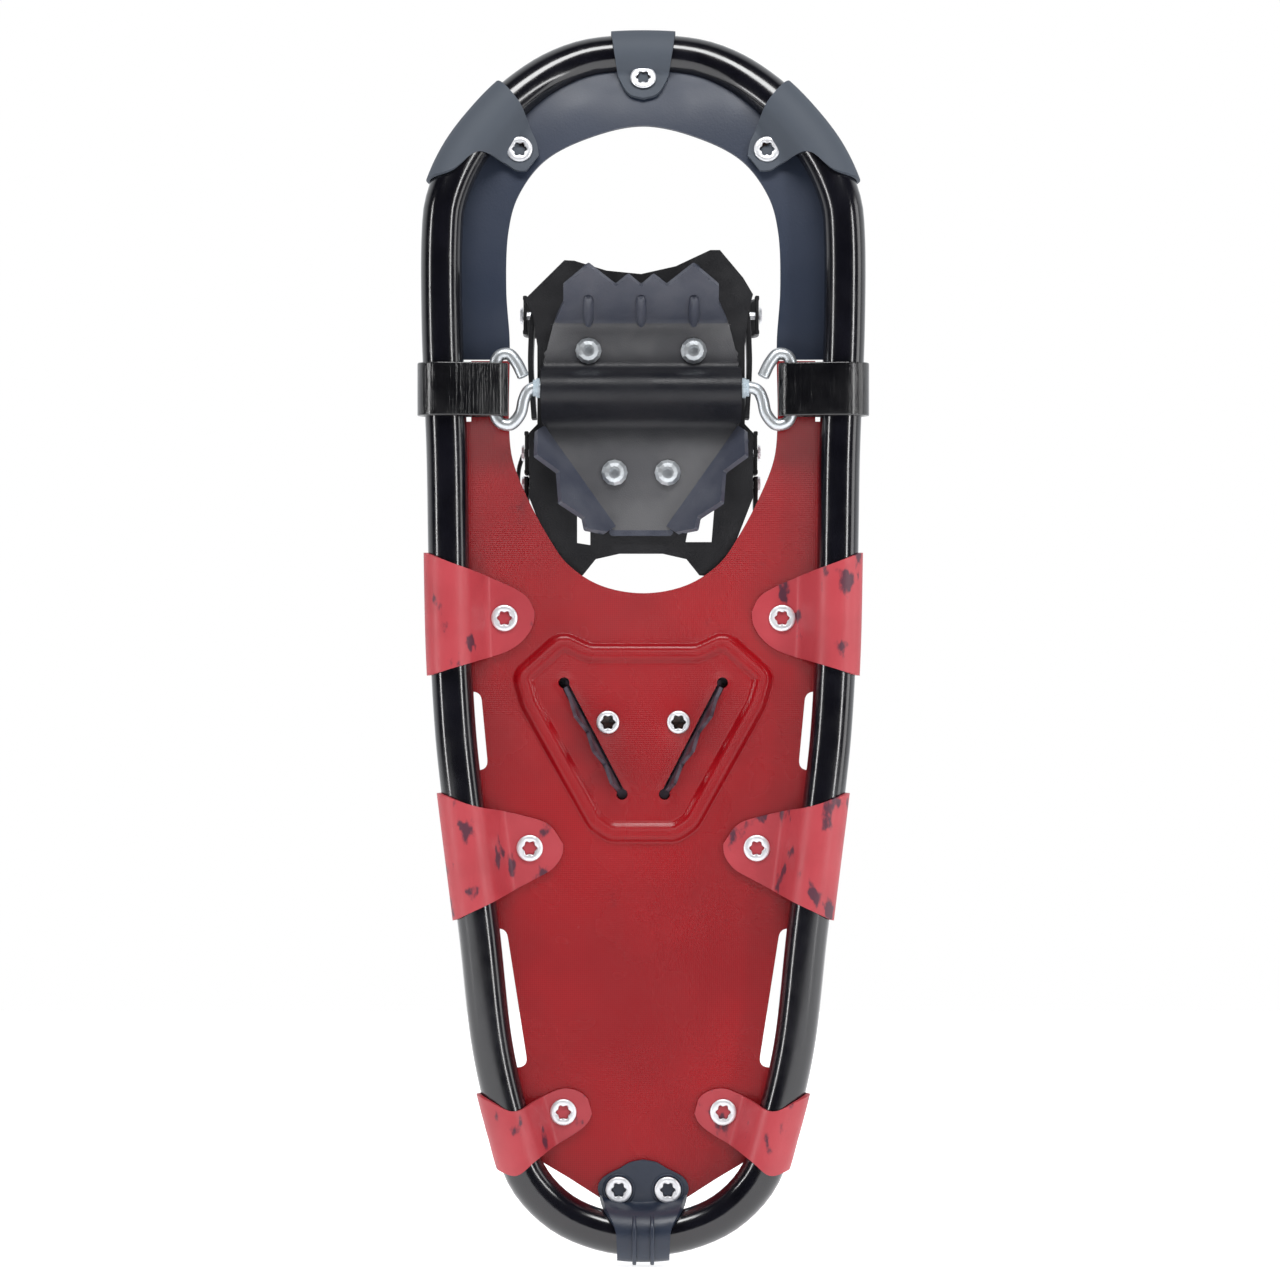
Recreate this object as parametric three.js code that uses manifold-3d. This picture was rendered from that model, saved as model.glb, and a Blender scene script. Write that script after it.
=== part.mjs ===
// Tube-frame snowshoe with a pivoting toe binding. Millimetres, toe up (+Z), width along X,
// sole and crampons toward -Y, boot side toward +Y.
import * as THREE from "three";
import { mergeVertices } from "three/addons/utils/BufferGeometryUtils.js";
import Module from "manifold-3d";

const wasm = await Module();
wasm.setup();

// ---- driving dimensions -------------------------------------------------------------------
const GAP = 0.3; // running clearance between neighbouring pieces
const TUBE_RADIUS = 9.5;
const TUBE_SIDES = 12;
const TUBE_STEPS = 100;
const TOE_BEND_START = 455; // height where the toe starts to curl toward the boot side
const TOE_BEND_RADIUS = 180;
const HANG_HEIGHT = 524; // front edge of the toe opening, where the shoe hangs on a peg

const DECK_FRONT = 9.8; // sole face of the deck sheets
const DECK_THICKNESS = 2;
const DECK_BACK = DECK_FRONT + DECK_THICKNESS;
const DECK_JOIN = 415; // height where the toe deck ends and the main deck starts
const SHIELD_RELIEF = 0.7;

const WRAP_THICKNESS = 1.8;
const FOLD_GAP = 0.45; // between the faceted tube and what is folded round it
const CLIP_THICKNESS = 2.5;
const RIVET_RING_RADIUS = 6.1;
const HEEL_RIVET_RADIUS = 5.3;
const RIVET_SHANK_RADIUS = 3.6;
const RIVET_BORE_RADIUS = 3.1;
const RIVET_SIDES = 10;

const AXLE_HEIGHT = 402;
const AXLE_RADIUS = 2.8;
const CORD_BAR_X = 68.2; // middle of the loop round the outer leg of the axle hook
const CORD_BOTTOM = 389;
const CORD_WIDTH = 24.5;
const CORD_THICKNESS = 2.2;

const BINDING_X = -1; // the binding sits this far off the middle of the frame
const PLATE_THICKNESS = 2.4; // toe crampon sheet
const PLATE_LEVEL = 10.6; // middle of the toe crampon's flat sheet
const BASE_FRONT = 12.1;
const TREAD_BACK = 18;
const BASE_BACK = 15.1;
const EAR_INNER = 48.8;
const EAR_OUTER = 51.8;
const EAR_TOP = 38;
const STRAP_THICKNESS = 2;
const BLADE_THICKNESS = 1.6;
const PAD_BACK = 17;
const PAD_RIVET_RECESS = 1.9;

// Middle line of the tube on the right side, as half width and length along the unbent frame.
const FRAME_HALF = [
  [24.9, 563.4], [41, 556.1], [56.7, 543.5], [68.8, 529.9], [83.1, 508.7], [91.1, 487.7],
  [92.5, 474], [92.5, 430], [90.3, 373.5], [89.5, 327.5], [88.5, 281.5], [86.4, 244.7],
  [84.6, 226.3], [75.5, 152.7], [69.1, 97.5], [60.6, 61.5], [53, 38.8], [37.9, 22.9], [18.7, 14.5],
];
const FRAME_TOE = 565.9;
const FRAME_TAIL = 12.3;

// ---- materials ----------------------------------------------------------------------------
const finish = (color, roughness, metalness = 0) =>
  new THREE.MeshStandardMaterial({ color, roughness, metalness });
const FINISHES = {
  tube: finish(0x14151b, 0.22, 0.6),
  toeDeck: finish(0x4b505c, 0.6),
  redDeck: finish(0x9c1f2a, 0.55),
  redWrap: finish(0xc2454d, 0.5),
  slate: finish(0x3f4653, 0.5),
  rivet: finish(0xd9dde2, 0.3, 0.9),
  zinc: finish(0xc4c8cc, 0.25, 1),
  cord: finish(0x0b0b0d, 0.2),
  crampon: finish(0x17181c, 0.45, 0.5),
  blade: finish(0x4a4450, 0.5, 0.5),
  base: finish(0x121215, 0.55),
  webbing: finish(0x101013, 0.85),
  pad: finish(0x2a2d33, 0.7),
  bushing: finish(0xb9c2cc, 0.35),
};

// ---- solids -------------------------------------------------------------------------------
const snowshoe = new THREE.Group();
snowshoe.position.z = -HANG_HEIGHT;

const at = (x, y) => new THREE.Vector2(x, y);
const points = (pairs) => pairs.map(([x, y]) => at(x, y));
const mirrored = (pairs) => pairs.map(([x, y]) => [-x, y]).reverse();
const sum = (solids) => solids.reduce((a, b) => a.add(b));
const minus = (solid, cutters) => cutters.reduce((a, b) => a.subtract(b), solid);

/** Turns a closed three.js geometry into a solid that can be cut and joined. */
function solid(geometry) {
  const bare = geometry.clone();
  bare.deleteAttribute("normal");
  bare.deleteAttribute("uv");
  const merged = mergeVertices(bare, 1e-4);
  return new wasm.Manifold(
    new wasm.Mesh({
      numProp: 3,
      vertProperties: new Float32Array(merged.attributes.position.array),
      triVerts: new Uint32Array(merged.index.array),
    }),
  );
}

/** Adds a solid to the snowshoe as a named mesh. */
function place(name, body, material) {
  const mesh = body.getMesh();
  const geometry = new THREE.BufferGeometry();
  geometry.setAttribute("position", new THREE.BufferAttribute(mesh.vertProperties, 3));
  geometry.setIndex(new THREE.BufferAttribute(mesh.triVerts, 1));
  geometry.computeVertexNormals();
  const piece = new THREE.Mesh(geometry, material);
  piece.name = name;
  snowshoe.add(piece);
}

/** Extrudes a shape from one depth to another, then lays its three axes along the given ones. */
function extrude(shape, from, to, [across, up, out], origin = [0, 0, 0]) {
  const outline = shape instanceof THREE.Shape ? shape : new THREE.Shape(points(shape));
  const geometry = new THREE.ExtrudeGeometry(outline, {
    depth: to - from, bevelEnabled: false, curveSegments: 8,
  });
  geometry.translate(0, 0, from);
  const basis = new THREE.Matrix4().makeBasis(
    new THREE.Vector3(...across), new THREE.Vector3(...up), new THREE.Vector3(...out),
  );
  geometry.applyMatrix4(basis);
  geometry.translate(...origin);
  return solid(geometry);
}

/** Solid with an outline in the XZ plane, between two Y levels. */
const frontPlate = (outline, front, back) =>
  extrude(outline, -back, -front, [[1, 0, 0], [0, 0, 1], [0, -1, 0]]);

/** Solid with an outline in the YZ plane, between two X levels. */
const sidePlate = (outline, left, right) =>
  extrude(outline, left, right, [[0, 1, 0], [0, 0, 1], [1, 0, 0]]);

/** Solid with an outline in the XY plane, between two Z levels. */
const levelPlate = (outline, bottom, top) =>
  extrude(outline, bottom, top, [[1, 0, 0], [0, 1, 0], [0, 0, 1]]);

/** Axis-aligned block between two corners. */
function block([x0, y0, z0], [x1, y1, z1]) {
  const geometry = new THREE.BoxGeometry(x1 - x0, y1 - y0, z1 - z0);
  geometry.translate((x0 + x1) / 2, (y0 + y1) / 2, (z0 + z1) / 2);
  return solid(geometry);
}

/** Round rod between two points. */
function rod(start, end, radius, sides = 16) {
  const a = new THREE.Vector3(...start);
  const b = new THREE.Vector3(...end);
  const geometry = new THREE.CylinderGeometry(radius, radius, a.distanceTo(b), sides);
  const turn = new THREE.Quaternion().setFromUnitVectors(
    new THREE.Vector3(0, 1, 0), b.clone().sub(a).normalize(),
  );
  geometry.applyQuaternion(turn);
  geometry.translate(...a.add(b).multiplyScalar(0.5).toArray());
  return solid(geometry);
}

/** Closed outline of a strip of even thickness that follows an open line of [x, y] pairs. */
function ribbon(line, thickness) {
  const centre = points(line);
  const left = [];
  const right = [];
  centre.forEach((point, i) => {
    const before = centre[Math.max(i - 1, 0)];
    const after = centre[Math.min(i + 1, centre.length - 1)];
    const arriving = point.clone().sub(i > 0 ? before : point.clone().sub(after.clone().sub(point)));
    const leaving = after.clone().sub(i < centre.length - 1 ? point : before);
    arriving.normalize();
    leaving.normalize();
    const along = arriving.clone().add(leaving).normalize();
    const side = at(-along.y, along.x);
    const reach = thickness / 2 / Math.max(side.dot(at(-arriving.y, arriving.x)), 0.5);
    left.push(point.clone().addScaledVector(side, reach));
    right.unshift(point.clone().addScaledVector(side, -reach));
  });
  return new THREE.Shape([...left, ...right]);
}

/** Points of a smooth line through a few [x, y] pairs. */
const smooth = (pairs, count) =>
  new THREE.SplineCurve(points(pairs)).getPoints(count).map((p) => [p.x, p.y]);

/** Points on an arc about the origin, between two angles in degrees. */
function arc(radius, from, to, count) {
  return Array.from({ length: count + 1 }, (_, i) => {
    const angle = THREE.MathUtils.degToRad(from + ((to - from) * i) / count);
    return [radius * Math.cos(angle), radius * Math.sin(angle)];
  });
}

// ---- frame line and its toe bend ----------------------------------------------------------
/** Curls a point of the unbent frame toward the boot side past the start of the toe bend. */
function curl(point) {
  const length = point.z - TOE_BEND_START;
  if (length <= 0) return point;
  const angle = length / TOE_BEND_RADIUS;
  const radius = TOE_BEND_RADIUS - point.y;
  point.y = TOE_BEND_RADIUS - radius * Math.cos(angle);
  point.z = TOE_BEND_START + radius * Math.sin(angle);
  return point;
}

function curlGeometry(geometry) {
  const positions = geometry.attributes.position;
  const point = new THREE.Vector3();
  for (let i = 0; i < positions.count; i += 1) {
    curl(point.fromBufferAttribute(positions, i));
    positions.setXYZ(i, point.x, point.y, point.z);
  }
  return geometry;
}

// The line runs from the tail up the left side, over the toe and down the right side.
const frameLine = new THREE.CatmullRomCurve3(
  [
    [0, FRAME_TAIL],
    ...mirrored(FRAME_HALF),
    [0, FRAME_TOE],
    ...FRAME_HALF,
  ].map(([x, z]) => new THREE.Vector3(x, 0, z)),
  true,
  "centripetal",
);
frameLine.arcLengthDivisions = 1600;

/** Share of the frame line at which the left side reaches a height. */
function stationAt(height) {
  let low = 0;
  let high = 0.5;
  for (let i = 0; i < 30; i += 1) {
    const middle = (low + high) / 2;
    if (frameLine.getPointAt(middle).z < height) low = middle;
    else high = middle;
  }
  return low;
}

/** Sweeps a section along part of the frame; section x points to the sole, y to the deck. */
function sweep(section, from, to, steps) {
  const stations = Array.from({ length: steps + 1 }, (_, i) =>
    frameLine.getPointAt((from + ((to - from) * i) / steps + 1) % 1),
  );
  const path = new THREE.CatmullRomCurve3(stations);
  path.arcLengthDivisions = 800;
  const geometry = new THREE.ExtrudeGeometry(section, {
    steps, extrudePath: path, bevelEnabled: false,
  });
  return solid(curlGeometry(geometry));
}

/** Points of the tube's middle line on one side, seen from the front, going up. */
function frameEdge(side, from, to, count) {
  const start = stationAt(from);
  const end = stationAt(to);
  return Array.from({ length: count + 1 }, (_, i) => {
    const point = curl(frameLine.getPointAt(start + ((end - start) * i) / count));
    return [-side * point.x, point.z];
  });
}

const ring = (radius, sides) => new THREE.Shape(points(arc(radius, 0, 360, sides).slice(0, -1)));
place("frame_tube", sweep(ring(TUBE_RADIUS, TUBE_SIDES), 0.0003, 0.9997, TUBE_STEPS), FINISHES.tube);

// ---- decks --------------------------------------------------------------------------------
const HEEL_SLIT = { outer: [36.6, 266.3], inner: [9.8, 214.8], width: 3.6, endRadius: 2.6 };
const SHIELD = [
  [23.4, 284], [37.9, 290.5], [60.4, 270.5], [56, 255], [25, 199.2], [16, 193.2],
];
const WRAPS = [
  {
    outline: [[108, 329], [99, 325.9], [59, 310], [51.5, 304], [50.1, 299], [52, 291],
      [60.4, 282], [97.7, 270], [108, 267]],
    rivet: [64.1, 296.2], span: [262, 333],
  },
  {
    outline: [[106, 219], [93.2, 215.5], [75.1, 209.3], [55.3, 205.2], [41, 200], [36.9, 191.4],
      [40, 182], [48.9, 176.2], [71, 165.1], [85.7, 157.8], [98, 151]],
    rivet: [52.4, 190], span: [148, 223],
  },
  {
    outline: [[90, 84.5], [74.4, 77.4], [59.2, 69.9], [48.9, 74.5], [35.6, 79.1], [25.5, 75],
      [23.6, 67.8], [30.5, 59.1], [48.9, 47.8], [56.7, 40.5], [65.5, 42.8], [82, 50]],
    rivet: [36.9, 68.1], span: [33, 90],
  },
];
const HEEL_RIVET = [16.3, 248.1];
const TAIL_RIVET = [11.3, 32.4];
const onSide = (pairs, side) => pairs.map(([x, z]) => [x * side, z]);
const boreAt = ([x, z], radius, front = 0, back = 20) =>
  rod([x, front, z], [x, back, z], radius, RIVET_SIDES);
const SIDES = [["left", -1], ["right", 1]];

/** Slit with round ends that a heel blade passes through. */
function heelSlit(side, front, back) {
  const [a, b] = onSide([HEEL_SLIT.outer, HEEL_SLIT.inner], side);
  return sum([
    frontPlate(ribbon([a, b], HEEL_SLIT.width), front, back),
    boreAt(a, HEEL_SLIT.endRadius, front, back),
    boreAt(b, HEEL_SLIT.endRadius, front, back),
  ]);
}

/** Main deck: a sheet from the toe opening to the tail, notched beside the tube. */
function mainDeck() {
  const opening = smooth(
    [[61.7, DECK_JOIN], [62, 385], [60.5, 370], [54.6, 354], [43.9, 333.7], [35.2, 321.4],
      [20.2, 311.5], [0, 307.7]],
    20,
  );
  const tail = [[48.9, 46.2], [34.6, 37.7], [19.1, 27.8], [9, 25.4]];
  const outside = frameEdge(1, 54, 387, 26).reverse();
  const half = [[79.5, DECK_JOIN], [79.5, 387], ...outside, ...tail];
  const sheet = frontPlate([...half, ...mirrored(half), ...onSide(opening, -1),
    ...opening.slice(0, -1).reverse()], DECK_FRONT, DECK_BACK);
  const relief = frontPlate(
    [...SHIELD, ...mirrored(SHIELD)], DECK_FRONT - SHIELD_RELIEF, DECK_FRONT + 0.5,
  );
  const cuts = SIDES.flatMap(([, side]) => [
    frontPlate(onSide([[96, 262], [79.4, 262.2], [75.6, 260.4], [74.2, 257.1], [71.9, 229.5],
      [72.6, 226.8], [75.4, 225.9], [96, 226]], side), 5, 15),
    frontPlate(onSide([[84, 152.7], [66.7, 152.7], [63.4, 151.4], [62.3, 148.1], [53.7, 94.9],
      [54.2, 91.6], [58.3, 88.6], [78, 88]], side), 5, 15),
    heelSlit(side, 5, 15),
    ...WRAPS.map((wrap) => boreAt(onSide([wrap.rivet], side)[0], RIVET_SHANK_RADIUS + GAP)),
    boreAt(onSide([HEEL_RIVET], side)[0], RIVET_SHANK_RADIUS + GAP),
    boreAt(onSide([TAIL_RIVET], side)[0], RIVET_SHANK_RADIUS + GAP),
  ]);
  return minus(sheet.add(relief), cuts);
}
place("main_deck", mainDeck(), FINISHES.redDeck);

// Middle of the toe deck sheet, as [y, z]: flat at first, then up into the curled toe.
const TOE_SHEET = [
  [10.8, DECK_JOIN + 0.6], [10.8, 440], [10.9, 455], [12.1, 484.5], [14.9, 509.4], [19.7, 532.2],
  [26.6, 547.1], [33, 558],
];
const toeSheetCurve = new THREE.SplineCurve(points(TOE_SHEET));

/** Level and slope of the toe deck sheet at a height. */
function toeSheetAt(height) {
  let share = 0;
  while (share < 1 && toeSheetCurve.getPoint(share).y < height) share += 0.002;
  const tangent = toeSheetCurve.getTangent(share);
  return { level: toeSheetCurve.getPoint(share).x, tilt: Math.atan2(tangent.x, tangent.y) };
}

const TOE_GRIP = DECK_THICKNESS + 2 + 2 * WRAP_THICKNESS; // deck and both legs of a strap
const TOE_RIVETS = [
  { name: "left", x: -57.2, z: 512.4 },
  { name: "center", x: 0, z: 545.6 },
  { name: "right", x: 57.2, z: 512.4 },
].map((rivet) => ({ ...rivet, ...toeSheetAt(rivet.z) }));

/** Rod square to the toe deck sheet through one of its rivet places. */
function toeBore({ x, z, level, tilt }, radius, front, back) {
  const along = [Math.cos(tilt), -Math.sin(tilt)];
  const end = (distance) => [x, level + along[0] * distance, z + along[1] * distance];
  return rod(end(front), end(back), radius, RIVET_SIDES);
}

/** Toe deck: a crescent sheet that curls up with the toe. */
function toeDeck() {
  const edge = smooth(
    [[61.7, DECK_JOIN + 0.6], [61.8, 426], [63.3, 448], [62.3, 475], [58, 491], [45.8, 507.8],
      [25, 518.9], [0, 524.4]],
    22,
  );
  const outside = frameEdge(1, DECK_JOIN + 0.6, FRAME_TOE, 22);
  const half = [...edge.reverse(), ...outside.slice(0, -1)];
  const outline = [...half, ...mirrored(half).slice(0, -1)];
  outline.splice(half.length, 0, [0, outside.at(-1)[1]]);
  const sheet = sidePlate(ribbon(smooth(TOE_SHEET, 24), DECK_THICKNESS), -100, 100);
  const cutters = TOE_RIVETS.map((rivet) => toeBore(rivet, RIVET_SHANK_RADIUS + GAP, -8, 8));
  return minus(
    sheet.intersect(frontPlate(outline, -10, 70)),
    [sweep(ring(TUBE_RADIUS + GAP + 0.3, TUBE_SIDES), 0.3, 0.7, 40), ...cutters],
  );
}
const toeDeckSheet = toeDeck();
place("toe_deck", toeDeckSheet, FINISHES.toeDeck);

// ---- straps folded round the tube ---------------------------------------------------------
/** Angle from the deck direction at which a line from a point touches a circle. */
function touchAngle([x, y], radius, turn) {
  const angle = Math.atan2(x, y) + turn * Math.acos(radius / Math.hypot(x, y));
  return THREE.MathUtils.radToDeg(angle);
}

/** Section of a strap folded round the tube: x toward the sole, y toward the deck. */
function foldSection({
  thickness, front, frontReach, landing, back, backReach, backLanding = landing - 2,
}) {
  const radius = TUBE_RADIUS + FOLD_GAP + thickness / 2;
  const frontStart = [-front, landing];
  const backStart = [-back, backLanding];
  const frontAngle = touchAngle(frontStart, radius, 1);
  const backAngle = touchAngle(backStart, radius, -1);
  const turn = arc(radius, backAngle, frontAngle - 360, 11).map(([y, x]) => [x, y]);
  const frontLeg = [frontStart, [-front, (landing + frontReach) / 2], [-front, frontReach]];
  return ribbon([[-back, backReach], backStart, ...turn, ...frontLeg], thickness);
}

const deckFold = foldSection({
  thickness: WRAP_THICKNESS,
  front: DECK_FRONT - GAP - WRAP_THICKNESS / 2,
  back: DECK_BACK + GAP + WRAP_THICKNESS / 2,
  frontReach: 47,
  backReach: 47,
  landing: 17,
  backLanding: -1.2,
});
for (const [sideName, side] of SIDES) {
  WRAPS.forEach(({ outline, rivet, span }, i) => {
    const [low, high] = span.map(stationAt);
    const [from, to] = side < 0 ? [low, high] : [1 - high, 1 - low];
    const strap = sweep(deckFold, from, to, 5)
      .intersect(frontPlate(onSide(outline, side), -20, 20))
      .subtract(boreAt(onSide([rivet], side)[0], RIVET_SHANK_RADIUS + GAP));
    place(`deck_wrap_${sideName}_${i + 1}`, strap, FINISHES.redWrap);
  });
}

const TOE_WRAPS = [
  {
    outline: [[-15.5, 580], [-13, 556], [-10, 544.5], [-5.5, 538.6], [0, 537.6], [5.5, 538.6],
      [10, 544.5], [13, 556], [15.5, 580]],
    fold: { front: -0.9, back: 3.6, landing: 15.5, frontReach: 34, backReach: 30 }, height: 565.8,
  },
  {
    outline: [[66, 545], [61.5, 540.5], [49.5, 517], [48.6, 509.5], [52, 503.8], [58.5, 503.2],
      [64.5, 506.6], [75.5, 511.5], [88, 500], [105, 498], [105, 545]],
    fold: { front: 3.6, back: 9.2, landing: 15.5, frontReach: 40, backReach: 34 }, height: 520,
  },
];

/** Grey strap folded round the curled toe and over both faces of the toe deck. */
function toeWrap({ outline, fold, height }, side, rivet) {
  const middle = side < 0 ? stationAt(height) : 1 - stationAt(height);
  const section = foldSection({ thickness: WRAP_THICKNESS, ...fold });
  const strap = sweep(section, middle - 0.028, middle + 0.028, 6);
  const half = TOE_GRIP / 2;
  return minus(
    strap.intersect(frontPlate(side ? onSide(outline, side) : outline, -30, 90)),
    [
      ...[-GAP, 0, GAP].map((shift) => toeDeckSheet.translate(0, shift, 0)),
      toeBore(rivet, RIVET_SHANK_RADIUS + GAP, -9, 9),
      toeBore(rivet, RIVET_RING_RADIUS + GAP, -14, -half),
      toeBore(rivet, RIVET_RING_RADIUS + GAP, half, 14),
    ],
  );
}
place("toe_wrap_center", toeWrap(TOE_WRAPS[0], 0, TOE_RIVETS[1]), FINISHES.slate);
place("toe_wrap_left", toeWrap(TOE_WRAPS[1], -1, TOE_RIVETS[0]), FINISHES.slate);
place("toe_wrap_right", toeWrap(TOE_WRAPS[1], 1, TOE_RIVETS[2]), FINISHES.slate);

/** Moulded clip that covers the tube joint at the tail. */
function tailClip() {
  const front = DECK_FRONT - GAP - CLIP_THICKNESS / 2;
  const back = DECK_BACK + GAP + CLIP_THICKNESS / 2;
  const shape = { front, back, landing: 13, frontReach: 38, backReach: 34 };
  const outline = [[11.8, -6], [12.2, 10], [13.2, 17], [20, 29.5], [21, 33.5], [19, 37.8],
    [7, 44.6], [0, 46.2]];
  const half = [...outline, ...mirrored(outline).slice(1)];
  const body = sweep(foldSection({ thickness: CLIP_THICKNESS, ...shape }), -0.024, 0.024, 6);
  const thick = sweep(
    foldSection({ thickness: CLIP_THICKNESS + 1.6, ...shape, landing: 13.8 }), -0.024, 0.024, 6,
  );
  const solidTube = sweep(ring(TUBE_RADIUS + GAP + 1, TUBE_SIDES), -0.03, 0.03, 10);
  const ribs = SIDES.map(([, side]) =>
    frontPlate(onSide([[3.2, -6], [5, -6], [5, 15.5], [3.2, 15.5]], side), -20, 3),
  );
  const bosses = SIDES.map(([, side]) =>
    boreAt(onSide([TAIL_RIVET], side)[0], 7.2, front - CLIP_THICKNESS / 2 - 0.7, front),
  );
  const raised = thick.intersect(sum(ribs)).subtract(solidTube);
  const cuts = SIDES.flatMap(([, side]) => {
    const [spot] = onSide([TAIL_RIVET], side);
    return [
      boreAt(spot, RIVET_SHANK_RADIUS + GAP),
      boreAt(spot, RIVET_RING_RADIUS + GAP, -6, front - CLIP_THICKNESS / 2 - 0.7),
      boreAt(spot, RIVET_RING_RADIUS, back + CLIP_THICKNESS / 2, 26),
    ];
  });
  return minus(sum([body.intersect(frontPlate(half, -20, 25)), raised, ...bosses]), cuts);
}
place("tail_clip", tailClip(), FINISHES.slate);

// ---- rivets -------------------------------------------------------------------------------
/** Tubular rivet: an open ring on the sole side and a closed head past its grip. */
function rivet(grip, ringRadius) {
  const profile = points([
    [0, -grip - 1.2], [4.6, -grip - 1.2], [5.2, -grip - 0.2], [RIVET_SHANK_RADIUS, -grip - 0.2],
    [RIVET_SHANK_RADIUS, 0.2], [ringRadius, 0.2], [ringRadius - 1, 1.2],
    [RIVET_BORE_RADIUS, 1], [RIVET_BORE_RADIUS, -grip + 1], [0, -grip + 1],
  ]);
  return new THREE.LatheGeometry(profile, RIVET_SIDES);
}

function placeRivet(name, [x, z], front, back, { radius = RIVET_RING_RADIUS, tilt = 0 } = {}) {
  const geometry = rivet(back - front, radius);
  geometry.rotateX(Math.PI);
  geometry.translate(0, front, 0);
  geometry.rotateX(-tilt);
  geometry.translate(x, 0, z);
  place(name, solid(geometry), FINISHES.rivet);
}

const wrapFace = DECK_FRONT - GAP - WRAP_THICKNESS;
const wrapBack = DECK_BACK + GAP + WRAP_THICKNESS;
for (const [sideName, side] of SIDES) {
  WRAPS.forEach((wrap, i) => {
    placeRivet(`rivet_deck_${sideName}_${i + 1}`, onSide([wrap.rivet], side)[0], wrapFace, wrapBack);
  });
  placeRivet(`rivet_heel_${sideName}`, onSide([HEEL_RIVET], side)[0], DECK_FRONT - SHIELD_RELIEF,
    PAD_BACK - PAD_RIVET_RECESS, { radius: HEEL_RIVET_RADIUS });
  placeRivet(`rivet_tail_${sideName}`, onSide([TAIL_RIVET], side)[0],
    DECK_FRONT - GAP - CLIP_THICKNESS - 0.7, DECK_BACK + GAP + CLIP_THICKNESS);
}

/** Rivet square to the curled toe deck, through both legs of its strap. */
function toeRivet({ name, x, z, level, tilt }) {
  const geometry = rivet(TOE_GRIP, RIVET_RING_RADIUS - 0.1);
  geometry.rotateX(Math.PI);
  geometry.translate(0, -TOE_GRIP / 2, 0);
  geometry.rotateX(-tilt);
  geometry.translate(x, level, z);
  place(`rivet_toe_${name}`, solid(geometry), FINISHES.rivet);
}
TOE_RIVETS.forEach(toeRivet);

// ---- axle with hooked ends and the cords that carry it --------------------------------------
const HOOK = [
  [24, 0, 0], [40, 0, 0], [50.4, 0, 0], [53.1, 0, -1.6], [54.9, 0, -5.4], [56.6, 0, -12],
  [61.2, 0, -16.9], [66, 0, -15.8], [68.3, 0, -11.5], [68.6, 0, -5], [68.6, 0, 4],
  [68.3, 0, 10.5], [66.2, 0, 14.8], [62, -0.4, 15.6], [58.4, -1, 11.8], [55, -1.8, 5],
];
const axlePoints = [...HOOK.map(([x, y, z]) => [-x, y, z]).reverse(), ...HOOK];
const axlePath = new THREE.CatmullRomCurve3(
  axlePoints.map(([x, y, z]) => new THREE.Vector3(x, y, z + AXLE_HEIGHT)), false, "centripetal",
);
const axle = new THREE.ExtrudeGeometry(ring(AXLE_RADIUS, 8), {
  steps: 62, extrudePath: axlePath, bevelEnabled: false,
});
place("axle_rod", solid(axle), FINISHES.zinc);

/** Band looped round the tube and the outer leg of the axle hook. */
function toeCord(side) {
  const tubeX = frameLine.getPointAt(1 - stationAt(AXLE_HEIGHT - 0.7)).x;
  const span = tubeX - CORD_BAR_X;
  const outerRadius = TUBE_RADIUS + 0.75 + CORD_THICKNESS;
  const innerRadius = AXLE_RADIUS + 1 + CORD_THICKNESS;
  const lean = THREE.MathUtils.radToDeg(Math.asin((outerRadius - innerRadius) / span));
  const loop = (shrink) => [
    ...arc(outerRadius - shrink, -90 - lean, 90 + lean, 14).map(([x, y]) => [x + tubeX, y]),
    ...arc(innerRadius - shrink, 90 + lean, 270 - lean, 8).map(([x, y]) => [x + CORD_BAR_X, y]),
  ];
  const top = CORD_BOTTOM + CORD_WIDTH;
  return levelPlate(onSide(loop(0), side), CORD_BOTTOM, top)
    .subtract(levelPlate(onSide(loop(CORD_THICKNESS), side), CORD_BOTTOM - 1, top + 1));
}
place("toe_cord_left", toeCord(-1), FINISHES.cord);
place("toe_cord_right", toeCord(1), FINISHES.cord);

// ---- heel crampon and pad -------------------------------------------------------------------
const PLATE_BACK = DECK_BACK + GAP + BLADE_THICKNESS;

/** Toothed blade that leans outward through a slit in the deck. */
function heelBlade(side) {
  const teeth = [[2, -3.4], [56, -3.4], [56, 3], [51, 11], [42, 4], [34, 14], [25, 5], [16, 14.5],
    [7, 4], [2, 3]];
  const start = new THREE.Vector3(HEEL_SLIT.outer[0], 0, HEEL_SLIT.outer[1]);
  const end = new THREE.Vector3(HEEL_SLIT.inner[0], 0, HEEL_SLIT.inner[1]);
  const along = end.clone().sub(start).normalize();
  const outward = new THREE.Vector3(-along.z, 0, along.x).normalize();
  const lean = THREE.MathUtils.degToRad(9);
  const down = new THREE.Vector3(0, -Math.cos(lean), 0).addScaledVector(outward, Math.sin(lean));
  const mirror = (v) => [v.x * side, v.y, v.z];
  const across = new THREE.Vector3(...mirror(along));
  const up = new THREE.Vector3(...mirror(down));
  const out = across.clone().cross(up);
  return extrude(teeth, -BLADE_THICKNESS / 2, BLADE_THICKNESS / 2,
    [across.toArray(), up.toArray(), out.toArray()], [start.x * side, DECK_FRONT, start.z]);
}

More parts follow.
